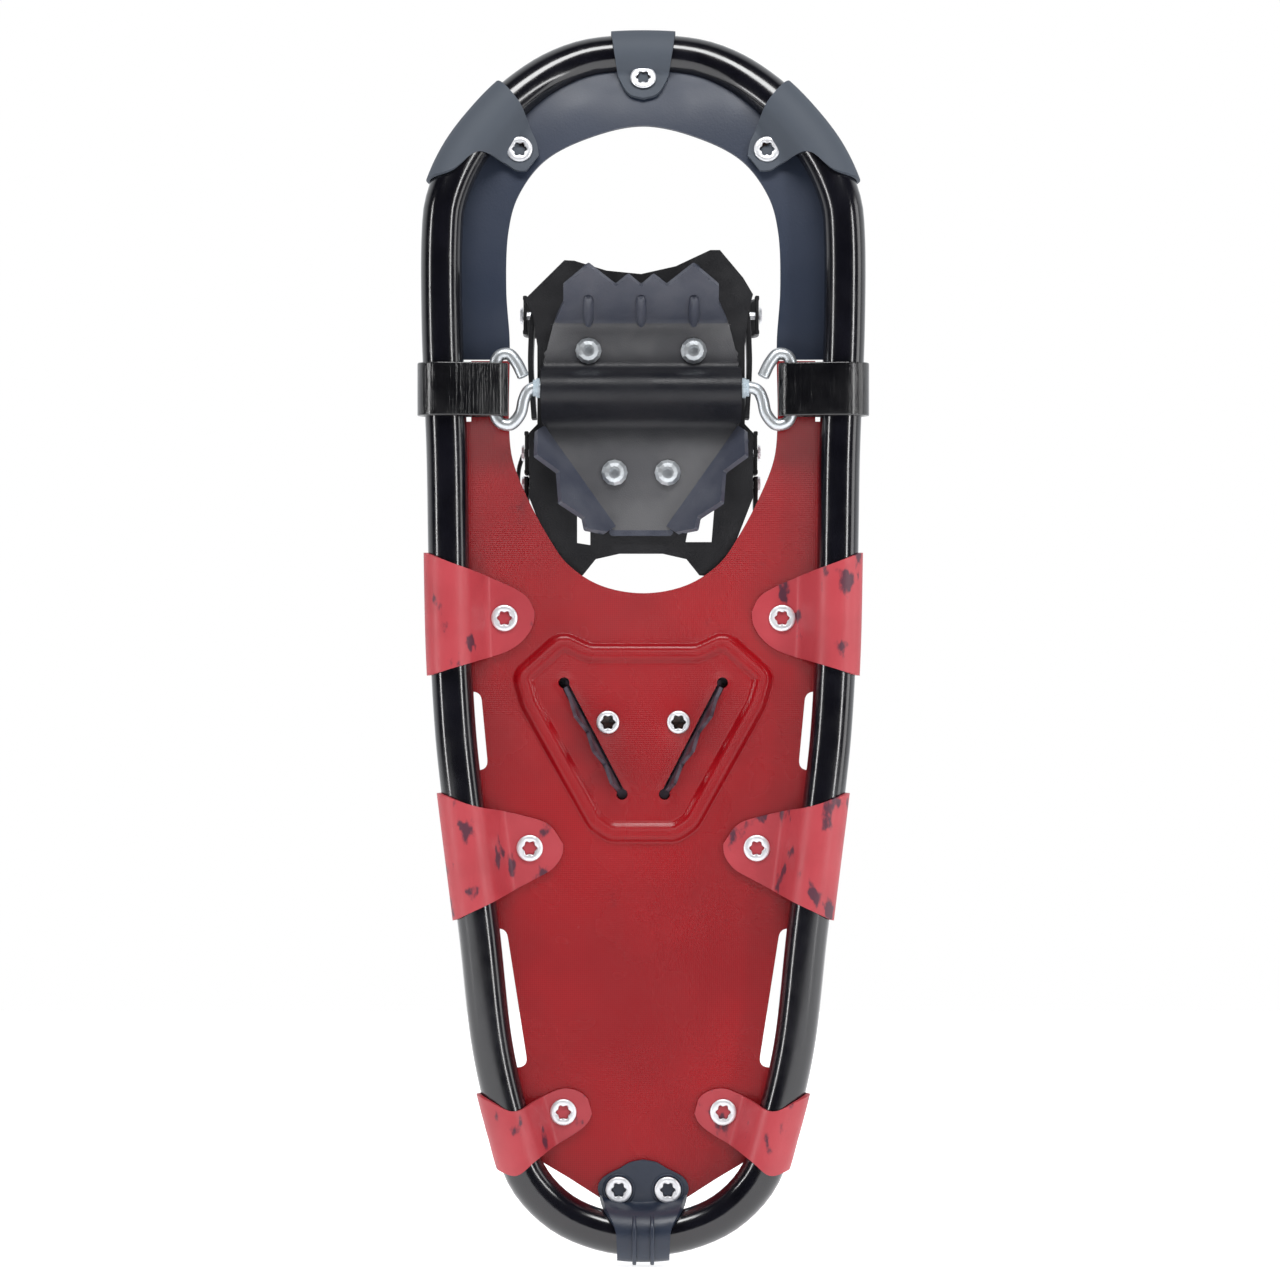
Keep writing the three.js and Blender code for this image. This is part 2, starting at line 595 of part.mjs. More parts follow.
const heelPlate = [[35.8, 267.5], [36.6, 262], [11, 213], [8.5, 210.5]];
const heelSheet = frontPlate([...heelPlate, ...mirrored(heelPlate)], DECK_BACK + GAP, PLATE_BACK);
const heelCrampon = minus(
  sum([heelSheet, heelBlade(-1), heelBlade(1)]),
  SIDES.map(([, side]) => boreAt(onSide([HEEL_RIVET], side)[0], RIVET_SHANK_RADIUS + GAP)),
);
place("heel_crampon", heelCrampon, FINISHES.blade);

/** Ribbed pad under the boot heel, hollowed over the crampon plate. */
function heelPad() {
  const outline = [...SHIELD, ...mirrored(SHIELD)];
  const pocket = [[38.6, 270], [39.6, 262], [13, 211], [10, 207.8]];
  const grooves = [205, 219, 233, 263, 277].map((z) =>
    block([-12, PAD_BACK - 1, z - 1.6], [12, PAD_BACK + 1, z + 1.6]),
  );
  return minus(frontPlate(outline, DECK_BACK + GAP, PAD_BACK), [
    frontPlate([...pocket, ...mirrored(pocket)], DECK_BACK - 1, PLATE_BACK + GAP),
    ...grooves,
    ...SIDES.flatMap(([, side]) => {
      const [spot] = onSide([HEEL_RIVET], side);
      return [
        boreAt(spot, RIVET_SHANK_RADIUS + GAP),
        boreAt(spot, 5.2 + GAP, PAD_BACK - PAD_RIVET_RECESS, PAD_BACK + 1),
      ];
    }),
  ]);
}
place("heel_pad", heelPad(), FINISHES.pad);

// ---- toe crampon ------------------------------------------------------------------------------
const inBinding = (pairs) => pairs.map(([x, z]) => [x + BINDING_X, z]);
const BOLTS = { front: [24.3, 419.7], rear: [12.3, 363.4] };
const boltPlaces = SIDES.flatMap(([sideName, side]) =>
  Object.entries(BOLTS).map(([row, [x, z]]) => ({
    name: `binding_bolt_${row}_${sideName}`, place: [BINDING_X + side * x, z],
  })),
);

/** Flange folded down along one side of the rear sheet, with three teeth. */
function sideFlange(side) {
  const edge = [[-4, -0.8], [-4, 6], [5.7, 19], [17.4, 11.6], [29.9, 25], [41.6, 16.5],
    [46.6, 20.6], [53, 9], [53, -0.8]];
  const start = new THREE.Vector3(43.3, 0, 381.3);
  const end = new THREE.Vector3(13.2, 0, 339);
  const along = end.clone().sub(start).normalize();
  const outward = new THREE.Vector3(-along.z, 0, along.x).normalize();
  const down = new THREE.Vector3(0, -0.835, 0).addScaledVector(outward, 0.55);
  const across = new THREE.Vector3(along.x * side, along.y, along.z);
  const up = new THREE.Vector3(down.x * side, down.y, down.z);
  const out = across.clone().cross(up);
  return extrude(edge, -PLATE_THICKNESS / 2, PLATE_THICKNESS / 2,
    [across.toArray(), up.toArray(), out.toArray()],
    [BINDING_X + start.x * side, PLATE_LEVEL, start.z]);
}

/** Formed steel crampon: toothed front flange, axle channel and toothed rear V. */
function toeCrampon() {
  const bend = [[-20, 462.5], [PLATE_LEVEL, 431.9], [PLATE_LEVEL, 412.5], [7.6, 409.4],
    [-1.6, 407.4], [-4.7, 404.6], [-5.4, 400.8], [-4.2, 397], [2.4, 390.2], [7.8, 387.2],
    [PLATE_LEVEL, 385.2], [PLATE_LEVEL, 333]];
  const half = [[0, 448.7], [5.8, 453.3], [11.7, 448.9], [24, 457.9], [35.7, 448.9],
    [35.7, 442], [40.6, 431.9], [46.2, 410], [46.2, 389], [44.2, 382], [43.3, 381.3],
    [13.2, 339], [17, 335], [15.5, 333]];
  const outline = inBinding([...half, ...mirrored(half).slice(0, -1)]);
  const sheet = sidePlate(ribbon(bend, PLATE_THICKNESS), -60, 60)
    .intersect(frontPlate(outline, -40, 30));
  const ribs = [-24.3, 0, 24.3].map((x) =>
    rod([BINDING_X + x, 8.4, 432.4], [BINDING_X + x, -3.2, 444], 2.7, 10),
  );
  return minus(
    sum([sheet, sideFlange(-1), sideFlange(1), ...ribs]),
    boltPlaces.map((bolt) => boreAt(bolt.place, 3 + GAP)),
  );
}
place("toe_crampon", toeCrampon(), FINISHES.crampon);

// ---- binding base and its fastenings -----------------------------------------------------------
/** Base plate with windows and two upright ears for the straps. */
function bindingBase() {
  const half = [[48, 422], [48, 386], [EAR_OUTER, 382], [EAR_OUTER, 352], [37.5, 315], [27, 316],
    [21, 323.5], [10, 326]];
  const toe = [[-50, 436], [-53.5, 444], [-35.5, 461.8], [-31, 461.6], [-16, 457], [0, 455.4],
    [16, 459], [32, 466.5], [36.5, 466.5], [47.3, 453.6], [51.8, 446], [49.6, 438]];
  const windows = [
    [[34.9, 359.7], [24.9, 353], [20.6, 331.4], [32.6, 331.4]],
    [[-29.6, 344], [-23.5, 344], [-23.5, 330], [-29.6, 331]],
  ];
  const ears = SIDES.map(([, side]) => {
    const inner = BINDING_X + side * EAR_INNER;
    const outer = BINDING_X + side * EAR_OUTER;
    const outline = [[BASE_FRONT, 352], [BASE_FRONT, 382], [EAR_TOP - 6, 382], [EAR_TOP, 376],
      [EAR_TOP, 358], [EAR_TOP - 6, 352]];
    return sidePlate(outline, Math.min(inner, outer), Math.max(inner, outer));
  });
  const plate = frontPlate(inBinding([...toe, ...half, ...mirrored(half)]), BASE_FRONT, BASE_BACK);
  const tread = block([BINDING_X - 36, BASE_FRONT, 371], [BINDING_X + 36, TREAD_BACK, 411]);
  return minus(sum([plate, tread, ...ears]), [
    ...windows.map((window) => frontPlate(inBinding(window), 10, 20)),
    ...boltPlaces.map((bolt) => boreAt(bolt.place, 3 + GAP)),
    ...earRivets.map(({ height, level }) =>
      rod([-70, level, height], [70, level, height], 1.8 + GAP, 12),
    ),
  ]);
}
const earRivets = [
  { name: "instep", height: 373, level: 26 },
  { name: "heel", height: 358.5, level: 28 },
];
place("binding_base", bindingBase(), FINISHES.base);

/** Button-head bolt with a hexagon socket, and its nut on the boot side. */
function bolt([x, z]) {
  const face = PLATE_LEVEL - PLATE_THICKNESS / 2;
  const profile = points([
    [0, -7.9], [5, -7.9], [5, -5.9], [3, -5.9], [3, 0.2], [6.1, 0.2], [6, 1.2], [4.6, 2.6],
    [2.9, 3.1], [0, 3.1],
  ]);
  const geometry = new THREE.LatheGeometry(profile, 12);
  geometry.rotateX(Math.PI);
  geometry.translate(x, face, z);
  return solid(geometry).subtract(rod([x, face - 1.2, z], [x, face - 5, z], 2.2, 6));
}
boltPlaces.forEach(({ name, place: spot }) => place(name, bolt(spot), FINISHES.zinc));

/** Flanged plastic bushing on the axle at one end of the crampon channel. */
function bushing(side) {
  const hole = AXLE_RADIUS + 2 * GAP;
  const profile = points([[hole, 0], [4.6, 0], [4.6, 1.6], [3.9, 1.8], [3.9, 3.2], [hole, 3.2],
    [hole, 0]]);
  const geometry = new THREE.LatheGeometry(profile, 12);
  geometry.rotateZ(-side * Math.PI / 2);
  geometry.translate(BINDING_X + side * 46.5, 0, AXLE_HEIGHT);
  return solid(geometry);
}
place("axle_bushing_left", bushing(-1), FINISHES.bushing);
place("axle_bushing_right", bushing(1), FINISHES.bushing);

// ---- harness and straps on the boot side ---------------------------------------------------------
/** Upright wall round the toe of the boot. */
function toeHarness() {
  const line = smooth([[-49.6, 388], [-51.2, 420], [-48, 443], [-34, 458], [-17, 455.4],
    [0, 453.6], [17, 455.4], [34, 460], [47, 445], [50.2, 420], [49, 388]], 20);
  const wall = frontPlate(ribbon(inBinding(line), 2.4), BASE_BACK + GAP, 40);
  const openings = [
    block([-30, 22, 440], [-14, 34, 470]),
    block([12, 22, 440], [28, 34, 470]),
  ];
  return minus(wall, [...openings, rod([-70, 28, 437], [70, 28, 437], 1.8 + GAP, 12)]);
}
place("toe_harness", toeHarness(), FINISHES.base);

const archOver = (foot, half, shoulder, top) => [
  [-half, foot], [-half, 41], [-half + 1.5, 48], [-half + 9, shoulder], [-26, top - 4.5],
  [-15, top], [15, top], [26, top - 4.5], [half - 9, shoulder], [half - 1.5, 48], [half, 41],
  [half, foot],
];

/** Strap that arches over the boot between two heights. */
function archStrap(line, bottom, top, rivetHeight, rivetLevel) {
  const shifted = line.map(([x, y]) => [x + BINDING_X, y]);
  return levelPlate(ribbon(shifted, STRAP_THICKNESS), bottom, top).subtract(
    rod([-70, rivetLevel, rivetHeight], [70, rivetLevel, rivetHeight], 1.8 + GAP, 12),
  );
}
place("toe_strap", archStrap(archOver(21, 53.9, 58, 72), 428, 446, 437, 28), FINISHES.webbing);
place("instep_strap", archStrap(archOver(19.5, 53.2, 74, 90), 363, 383, 373, 26), FINISHES.webbing);

/** Strap that runs from the ears round the back of the heel. */
function heelStrap() {
  const half = [[53.2, 362], [53.2, 352], [53.2, 300], [52, 262], [47, 225], [36, 200], [18, 188]];
  const line = [...half, [0, 185.5], ...mirrored(half)];
  const curve = [...half.slice(0, 3), ...smooth(line.slice(2, -2), 18).slice(1, -1),
    ...mirrored(half).slice(-3)];
  return frontPlate(ribbon(inBinding(curve), STRAP_THICKNESS), 19.5, 37.5).subtract(
    rod([-70, 28, 358.5], [70, 28, 358.5], 1.8 + GAP, 12),
  );
}
place("heel_strap", heelStrap(), FINISHES.webbing);

/** Loose end of the instep strap, lying out past the left ear. */
const tailLine = smooth([[-56.4, 373], [-58.4, 366], [-58.4, 356], [-56.8, 346], [-57, 334]], 8);
place("strap_tail", frontPlate(ribbon(tailLine, 1.6), 39, 54), FINISHES.webbing);

/** Small headed rivet that holds a strap to the binding, along X. */
function strapRivet(side, inner, outer, level, height) {
  const grip = outer - inner;
  const profile = points([[0, -1.3], [3.2, -1.3], [3.6, -0.2], [1.8, -0.2], [1.8, grip + 0.2],
    [4, grip + 0.2], [3.4, grip + 1.3], [0, grip + 1.5]]);
  const geometry = new THREE.LatheGeometry(profile, 8);
  geometry.rotateZ(-side * Math.PI / 2);
  geometry.translate(BINDING_X + side * inner, level, height);
  return solid(geometry);
}
for (const [sideName, side] of SIDES) {
  for (const { name, height, level } of earRivets) {
    const strapFace = 53.2 + STRAP_THICKNESS / 2;
    place(`strap_rivet_${name}_${sideName}`, strapRivet(side, EAR_INNER, strapFace, level, height),
      FINISHES.rivet);
  }
  place(`strap_rivet_toe_${sideName}`, strapRivet(side, side < 0 ? 46.9 : 45.8, 54.9, 28, 437),
    FINISHES.rivet);
}

/** Cam buckle in its own axes: x along the strap, y across it, z away from the boot. */
function buckle(name, [across, up, out], origin) {
  const basis = new THREE.Matrix4().makeBasis(
    new THREE.Vector3(...across), new THREE.Vector3(...up), new THREE.Vector3(...out),
  ).setPosition(...origin);
  const put = (body) => body.transform(basis.toArray());
  const lugs = SIDES.map(([, side]) =>
    block([4.5, side < 0 ? -13 : 11, 0.3], [12, side < 0 ? -11 : 13, 8]),
  );
  const body = minus(
    sum([block([-13, -13, 0.3], [13, 13, 1.9]), block([-11, -11, 1], [-8.6, 11, 3.8]), ...lugs]),
    [block([-6.5, -9, 0], [3, 9, 4]), rod([8, -14, 5.2], [8, 14, 5.2], 1.6, 12)],
  );
  const lever = sum([
    rod([8, -10.6, 5.2], [8, 10.6, 5.2], 2.2, 12),
    rod([8, -12.6, 5.2], [8, 12.6, 5.2], 1.3, 10),
    block([-12, -10.4, 4.2], [8, 10.4, 6]),
    block([-14.5, -7, 4.2], [-11, 7, 6]),
  ]);
  place(`${name}_buckle`, put(body), FINISHES.base);
  place(`${name}_buckle_lever`, put(lever), FINISHES.zinc);
}
const OVER_BOOT = [[1, 0, 0], [0, 0, -1], [0, 1, 0]];
const BESIDE_HEEL = [[0, 0, 1], [0, 1, 0], [-1, 0, 0]];
buckle("toe", OVER_BOOT, [BINDING_X, 73, 437]);
buckle("instep", OVER_BOOT, [BINDING_X, 91, 373]);
buckle("heel", BESIDE_HEEL, [BINDING_X - 54.2, 28.5, 318]);

export default snowshoe;
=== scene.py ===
"""Visual model of a tube-frame snowshoe with a pivoting toe binding, built over its CAD frame.

Lengths in the size classes are millimetres: x across the shoe, y toward the boot side and z up
from the tail. Row.put turns them into metres in the row frame.
"""
import logging
import math
from collections.abc import Callable, Sequence
from dataclasses import dataclass, field
from enum import Enum

import bmesh
import bpy
import numpy as np
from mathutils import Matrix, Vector
from mathutils.geometry import delaunay_2d_cdt


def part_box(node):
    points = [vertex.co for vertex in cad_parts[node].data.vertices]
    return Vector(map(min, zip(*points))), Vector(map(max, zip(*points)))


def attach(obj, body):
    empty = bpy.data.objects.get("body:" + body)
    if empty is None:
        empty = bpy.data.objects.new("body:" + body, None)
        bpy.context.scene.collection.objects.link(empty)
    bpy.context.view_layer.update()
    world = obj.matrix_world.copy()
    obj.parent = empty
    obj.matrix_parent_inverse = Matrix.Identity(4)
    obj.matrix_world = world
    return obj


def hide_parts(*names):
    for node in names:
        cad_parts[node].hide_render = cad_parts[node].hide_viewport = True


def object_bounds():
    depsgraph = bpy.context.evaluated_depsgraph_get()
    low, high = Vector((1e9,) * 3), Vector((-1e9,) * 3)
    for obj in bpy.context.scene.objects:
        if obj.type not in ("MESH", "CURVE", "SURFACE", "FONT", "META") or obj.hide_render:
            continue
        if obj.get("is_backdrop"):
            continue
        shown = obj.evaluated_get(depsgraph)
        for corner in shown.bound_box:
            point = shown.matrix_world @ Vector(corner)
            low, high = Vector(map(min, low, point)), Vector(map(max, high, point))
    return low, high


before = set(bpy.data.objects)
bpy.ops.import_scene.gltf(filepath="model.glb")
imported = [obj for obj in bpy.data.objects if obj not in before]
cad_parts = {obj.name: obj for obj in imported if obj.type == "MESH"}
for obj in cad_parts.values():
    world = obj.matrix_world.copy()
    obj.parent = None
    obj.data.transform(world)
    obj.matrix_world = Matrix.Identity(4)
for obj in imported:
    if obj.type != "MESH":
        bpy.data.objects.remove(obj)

LOG = logging.getLogger("snowshoe")
Color = tuple[float, float, float]
Pair = tuple[float, float]
Bend = Callable[[np.ndarray], np.ndarray]
Faces = list[tuple[int, ...]]
Loft = tuple[list[Vector], Faces]
Socket = bpy.types.NodeSocket


class Side(Enum):
    """Side of the shoe as seen from the sole."""

    LEFT = -1
    RIGHT = 1

    @property
    def word(self) -> str:
        """Returns: the side's name as the CAD nodes spell it."""
        return self.name.lower()


class Body(Enum):
    """Rigid bodies of the CAD frame that visual pieces ride on."""

    FRAME = "frame"
    BINDING = "binding"


# ---- finishes -----------------------------------------------------------------------------


class Nodes:
    """Small builder for the shader nodes of one material."""

    def __init__(self, material: bpy.types.Material) -> None:
        """Starts from an empty node tree.

        Args:
            material: the material to fill.
        """
        material.use_nodes = True
        self.tree = material.node_tree
        self.tree.nodes.clear()
        self.place = self.add("ShaderNodeTexCoord").outputs["Object"]

    def add(self, kind: str, **settings: object) -> bpy.types.Node:
        """Adds a node.

        Args:
            kind: the node's type name.
            settings: attributes to set on it.

        Returns: the node.
        """
        node = self.tree.nodes.new(kind)
        for name, value in settings.items():
            setattr(node, name, value)
        return node

    def join(self, source: Socket, target: Socket) -> None:
        """Links an output to an input.

        Args:
            source: the output socket.
            target: the input socket.
        """
        self.tree.links.new(source, target)

    def stretched(self, stretch: Color) -> Socket:
        """Scales the piece's own coordinates.

        Args:
            stretch: factors along x, y and z.

        Returns: the scaled coordinates.
        """
        mapping = self.add("ShaderNodeMapping")
        mapping.inputs["Scale"].default_value = stretch
        self.join(self.place, mapping.inputs["Vector"])
        return mapping.outputs["Vector"]

    def noise(self, scale: float, detail: float = 3.0, stretch: Color = (1, 1, 1)) -> Socket:
        """Adds a noise texture.

        Args:
            scale: features per metre.
            detail: octaves.
            stretch: factors along x, y and z.

        Returns: the noise value.
        """
        node = self.add("ShaderNodeTexNoise")
        node.inputs["Scale"].default_value = scale
        node.inputs["Detail"].default_value = detail
        self.join(self.stretched(stretch), node.inputs["Vector"])
        return node.outputs["Fac"]

    def remap(self, value: Socket, low: float, high: float, to_low: float, to_high: float) -> Socket:
        """Maps a range of values smoothly onto another.

        Args:
            value: the value to map.
            low: start of its range.
            high: end of its range.
            to_low: result at the start.
            to_high: result at the end.

        Returns: the mapped value.
        """
        node = self.add("ShaderNodeMapRange", interpolation_type="SMOOTHSTEP")
        for name, number in zip(("From Min", "From Max", "To Min", "To Max"), (low, high, to_low, to_high)):
            node.inputs[name].default_value = number
        self.join(value, node.inputs["Value"])
        return node.outputs["Result"]

    def mix(self, share: Socket, first: object, second: object) -> Socket:
        """Mixes two colours.

        Args:
            share: how much of the second, from 0 to 1.
            first: a colour or a colour socket.
            second: a colour or a colour socket.

        Returns: the mixed colour.
        """
        node = self.add("ShaderNodeMix", data_type="RGBA")
        self.join(share, node.inputs["Factor"])
        for socket, value in ((node.inputs[6], first), (node.inputs[7], second)):
            if isinstance(value, Socket):
                self.join(value, socket)
            else:
                socket.default_value = (*value, 1)
        return node.outputs[2]

    def math(self, operation: str, first: object, second: object = 0.0) -> Socket:
        """Does arithmetic on two values.

        Args:
            operation: the math node's operation.
            first: a number or a socket.
            second: a number or a socket.

        Returns: the result.
        """
        node = self.add("ShaderNodeMath", operation=operation)
        for socket, value in zip(node.inputs, (first, second)):
            if isinstance(value, Socket):
                self.join(value, socket)
            else:
                socket.default_value = value
        return node.outputs["Value"]

    def bump(self, height: Socket, depth: float, below: Socket | None) -> Socket:
        """Adds relief to the surface normal.

        Args:
            height: relief from 0 to 1.
            depth: its depth in metres.
            below: the normal it is added to, if any.

        Returns: the new normal.
        """
        node = self.add("ShaderNodeBump")
        node.inputs["Distance"].default_value = depth
        self.join(height, node.inputs["Height"])
        if below is not None:
            self.join(below, node.inputs["Normal"])
        return node.outputs["Normal"]


@dataclass(frozen=True)
class Grain:
    """Fine relief of a surface: features per metre, depth in metres, and their stretch."""

    scale: float
    depth: float
    stretch: Color = (1, 1, 1)


@dataclass(frozen=True)
class Weave:
    """Threads that show through a coating: pitch and depth in metres, and their colour share."""

    pitch: float
    depth: float
    contrast: float


@dataclass(frozen=True)
class Marks:
    """Rubbed or dirty places: colour, share of the surface, features per metre and stretch."""

    color: Color
    amount: float
    scale: float
    stretch: Color = (1, 1, 1)


@dataclass(frozen=True)
class Fade:
    """A second colour that takes over between two heights, each given by its start and end."""

    color: Color
    rise: Pair
    fall: Pair


@dataclass(frozen=True)
class Finish:
    """One finish: a colour that wanders a little, with roughness, relief, weave and marks."""

    name: str
    color: Color
    wander: Color
    roughness: float
    roughness_spread: float = 0.06
    metallic: float = 0.0
    specular: float = 0.5
    coat: float = 0.0
    mottle: float = 45.0
    grain: Grain | None = None
    weave: Weave | None = None
    marks: Marks | None = None
    fade: Fade | None = None

    def material(self) -> bpy.types.Material:
        """Builds the material once and hands out the same one afterwards.

        Returns: the material.
        """
        known = bpy.data.materials.get(self.name)
        if known:
            return known
        made = bpy.data.materials.new(self.name)
        nodes = Nodes(made)
        shader = nodes.add("ShaderNodeBsdfPrincipled")
        output = nodes.add("ShaderNodeOutputMaterial")
        nodes.join(shader.outputs["BSDF"], output.inputs["Surface"])
        shader.inputs["Metallic"].default_value = self.metallic
        shader.inputs["Specular IOR Level"].default_value = self.specular
        shader.inputs["Coat Weight"].default_value = self.coat
        shader.inputs["Coat Roughness"].default_value = 0.12
        mottle = nodes.noise(self.mottle)
        color = nodes.mix(nodes.remap(mottle, 0.35, 0.65, 0, 1), self.color, self.wander)
        normal = None
        if self.fade:
            color = self._faded(nodes, color)
        if self.weave:
            color, normal = self._woven(nodes, color)
        if self.marks:
            color = self._marked(nodes, color)
        if self.grain:
            grain = nodes.noise(self.grain.scale, 4, self.grain.stretch)
            normal = nodes.bump(grain, self.grain.depth, normal)
        if normal is not None:
            nodes.join(normal, shader.inputs["Normal"])
        nodes.join(color, shader.inputs["Base Color"])
        low, high = self.roughness - self.roughness_spread, self.roughness + self.roughness_spread
        roughness = nodes.remap(nodes.noise(self.mottle * 2.3), 0.3, 0.7, low, high)
        nodes.join(roughness, shader.inputs["Roughness"])
        return made

    def _faded(self, nodes: Nodes, color: Socket) -> Socket:
        """Adds the second colour between two heights.

        Args:
            nodes: the node builder.
            color: the colour so far.

        Returns: the new colour.
        """
        split = nodes.add("ShaderNodeSeparateXYZ")
        nodes.join(nodes.place, split.inputs["Vector"])
        rise = nodes.remap(split.outputs["Z"], *self.fade.rise, 0, 1)
        fall = nodes.remap(split.outputs["Z"], *self.fade.fall, 1, 0)
        return nodes.mix(nodes.math("MULTIPLY", rise, fall), color, self.fade.color)

    def _woven(self, nodes: Nodes, color: Socket) -> tuple[Socket, Socket]:
        """Adds the threads of a coated fabric.

        Args:
            nodes: the node builder.
            color: the colour so far.

        Returns: the new colour and the normal.
        """
        split = nodes.add("ShaderNodeSeparateXYZ")
        nodes.join(nodes.place, split.inputs["Vector"])
        across, up = split.outputs["X"], split.outputs["Z"]
        turn = math.tau / self.weave.pitch / math.sqrt(2)
        diagonals = [
            nodes.math("SINE", nodes.math("MULTIPLY", nodes.math(kind, across, up), turn))
            for kind in ("ADD", "SUBTRACT")
        ]
        knots = nodes.remap(nodes.math("MULTIPLY", *diagonals), -1, 1, 0, 1)
        share = nodes.math("MULTIPLY", knots, self.weave.contrast)
        dark = tuple(channel * 0.55 for channel in self.color)
        return nodes.mix(share, color, dark), nodes.bump(knots, self.weave.depth, None)

    def _marked(self, nodes: Nodes, color: Socket) -> Socket:
        """Adds rubbed or dirty places.

        Args:
            nodes: the node builder.
            color: the colour so far.

        Returns: the new colour.
        """
        edge = 0.72 - 0.3 * self.marks.amount
        patches = nodes.noise(self.marks.scale, 6, self.marks.stretch)
        share = nodes.remap(patches, edge, edge + 0.07, 0, 0.85)
        return nodes.mix(share, color, self.marks.color)


TUBE = Finish(
    "tube_black", (0.003, 0.003, 0.005), (0.005, 0.005, 0.008), 0.17,
    0.03, specular=0.55, coat=0.4,
)
TOE_DECK = Finish(
    "toe_deck_slate", (0.017, 0.025, 0.046), (0.022, 0.031, 0.055), 0.48, mottle=14,
    grain=Grain(900, 0.00006),
)
RED_DECK = Finish(
    "deck_red", (0.29, 0.003, 0.007), (0.22, 0.0025, 0.006), 0.26, 0.03, mottle=14, specular=0.28,
    weave=Weave(0.0013, 0.00003, 0.6), marks=Marks((0.12, 0.004, 0.008), 0.12, 30),
)
RED_WRAP = Finish(
    "wrap_red", (0.43, 0.045, 0.058), (0.37, 0.034, 0.045), 0.44, 0.05, mottle=30,
    grain=Grain(500, 0.0001), marks=Marks((0.022, 0.014, 0.032), 0.45, 100, (1, 1, 0.6)),
)
SLATE = Finish(
    "slate", (0.034, 0.045, 0.074), (0.042, 0.055, 0.087), 0.42,
    mottle=30, grain=Grain(700, 0.00006),
)
CLIP = Finish(
    "clip_slate", (0.013, 0.02, 0.038), (0.018, 0.026, 0.046), 0.4,
    mottle=30, grain=Grain(700, 0.00006),
)
BRIGHT = Finish(
    "rivet_metal", (0.86, 0.87, 0.9), (0.78, 0.79, 0.82), 0.38,
    0.06, metallic=0.55, mottle=300,
)
# Painted shade in the rivets' bores: near-black mottled with a dim warm brown, where the bright metal of the
# bore lies in shade.
RIVET_BORE_PAINTED_SHADE = Finish(
    "rivet_hollow", (0.004, 0.003, 0.003), (0.03, 0.012, 0.008), 0.35,
    metallic=0.2, mottle=500,
)
ZINC = Finish(
    "zinc", (0.62, 0.65, 0.69), (0.72, 0.72, 0.71), 0.24, 0.06, metallic=0.9, mottle=120,
    grain=Grain(1200, 0.00003, (0.2, 1, 1)),
)
CORD = Finish(
    "toe_cord_black", (0.003, 0.003, 0.004), (0.006, 0.006, 0.007), 0.2, 0.06, coat=0.5,
    grain=Grain(900, 0.0003, (1, 1, 0.03)),
)
# Crampon powder coat: the grey base colour is painted sheen, the light's reflection on the bent plate; the
# near-black band between two heights is the coat's own black.
POWDER_PAINTED_SHEEN = Finish(
    "crampon_black", (0.07, 0.07, 0.076), (0.11, 0.11, 0.115), 0.45, 0.06, specular=0.4, mottle=30,
    grain=Grain(1600, 0.00015), fade=Fade((0.0035, 0.004, 0.0075), (-0.152, -0.137), (-0.114, -0.102)),
)
# Lighter grey copy of the crampon's black powder coat: painted reflection on the teeth, the rear lip, the ribs
# and the side flanges, which lean away from the flat plate.
CRAMPON_PAINTED_REFLECTION = Finish(
    "crampon_grey", (0.038, 0.043, 0.064), (0.056, 0.061, 0.082), 0.42, 0.05, specular=0.6, mottle=60,
    grain=Grain(1500, 0.00012),
)
BLADE = Finish("blade_worn", (0.05, 0.036, 0.05), (0.1, 0.085, 0.11), 0.42, metallic=0.4, mottle=160)
PLASTIC = Finish(
    "binding_black", (0.005, 0.005, 0.007), (0.009, 0.009, 0.011), 0.5,
    grain=Grain(1500, 0.0001),
)
STRAP = Finish(
    "strap_black", (0.008, 0.008, 0.01), (0.014, 0.014, 0.016), 0.48, mottle=50, grain=Grain(1100, 0.00012),
)
LEVER = Finish(
    "lever_grey", (0.3, 0.31, 0.33), (0.38, 0.39, 0.41), 0.32,
    metallic=1.0, grain=Grain(900, 0.00004),
)
PAD = Finish("pad_grey", (0.03, 0.033, 0.04), (0.045, 0.048, 0.055), 0.7, grain=Grain(1300, 0.0002))
MILKY = Finish("bushing_milky", (0.5, 0.58, 0.64), (0.42, 0.5, 0.56), 0.3, specular=0.6)


# ---- sizes that pieces share ----------------------------------------------------------------


@dataclass(frozen=True)
class TubeSize:
    """Frame tube: radius, the toe's curl, and the middle line's half outline before the curl."""

    radius: float = 9.5
    bend_start: float = 455.0
    bend_radius: float = 180.0
    tail: float = 12.3
    toe: float = 565.9
    half: tuple[Pair, ...] = (
        (24.9, 563.4), (41, 556.1), (56.7, 543.5), (68.8, 529.9), (83.1, 508.7), (91.1, 487.7),
        (92.5, 474), (92.5, 430), (90.3, 373.5), (89.5, 327.5), (88.5, 281.5), (86.4, 244.7),
        (84.6, 226.3), (75.5, 152.7), (69.1, 97.5), (60.6, 61.5), (53, 38.8), (37.9, 22.9),
        (18.7, 14.5),
    )


class Row:
    """Turns the size classes' millimetres into metres in the row frame."""

    def __init__(self, size: TubeSize) -> None:
        """Finds the tail's height from the CAD tube.

        Args:
            size: the tube's sizes.
        """
        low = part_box("frame_tube")[0]
        self.tail = low[2] - (size.tail - size.radius) / 1000

    def put(self, x: float, y: float, z: float) -> Vector:
        """Places a point.

        Args:
            x: across the shoe, in millimetres.
            y: toward the boot side, in millimetres.
            z: up from the tail, in millimetres.

        Returns: the point in the row frame, in metres.
        """
        return Vector((x / 1000, y / 1000, z / 1000 + self.tail))


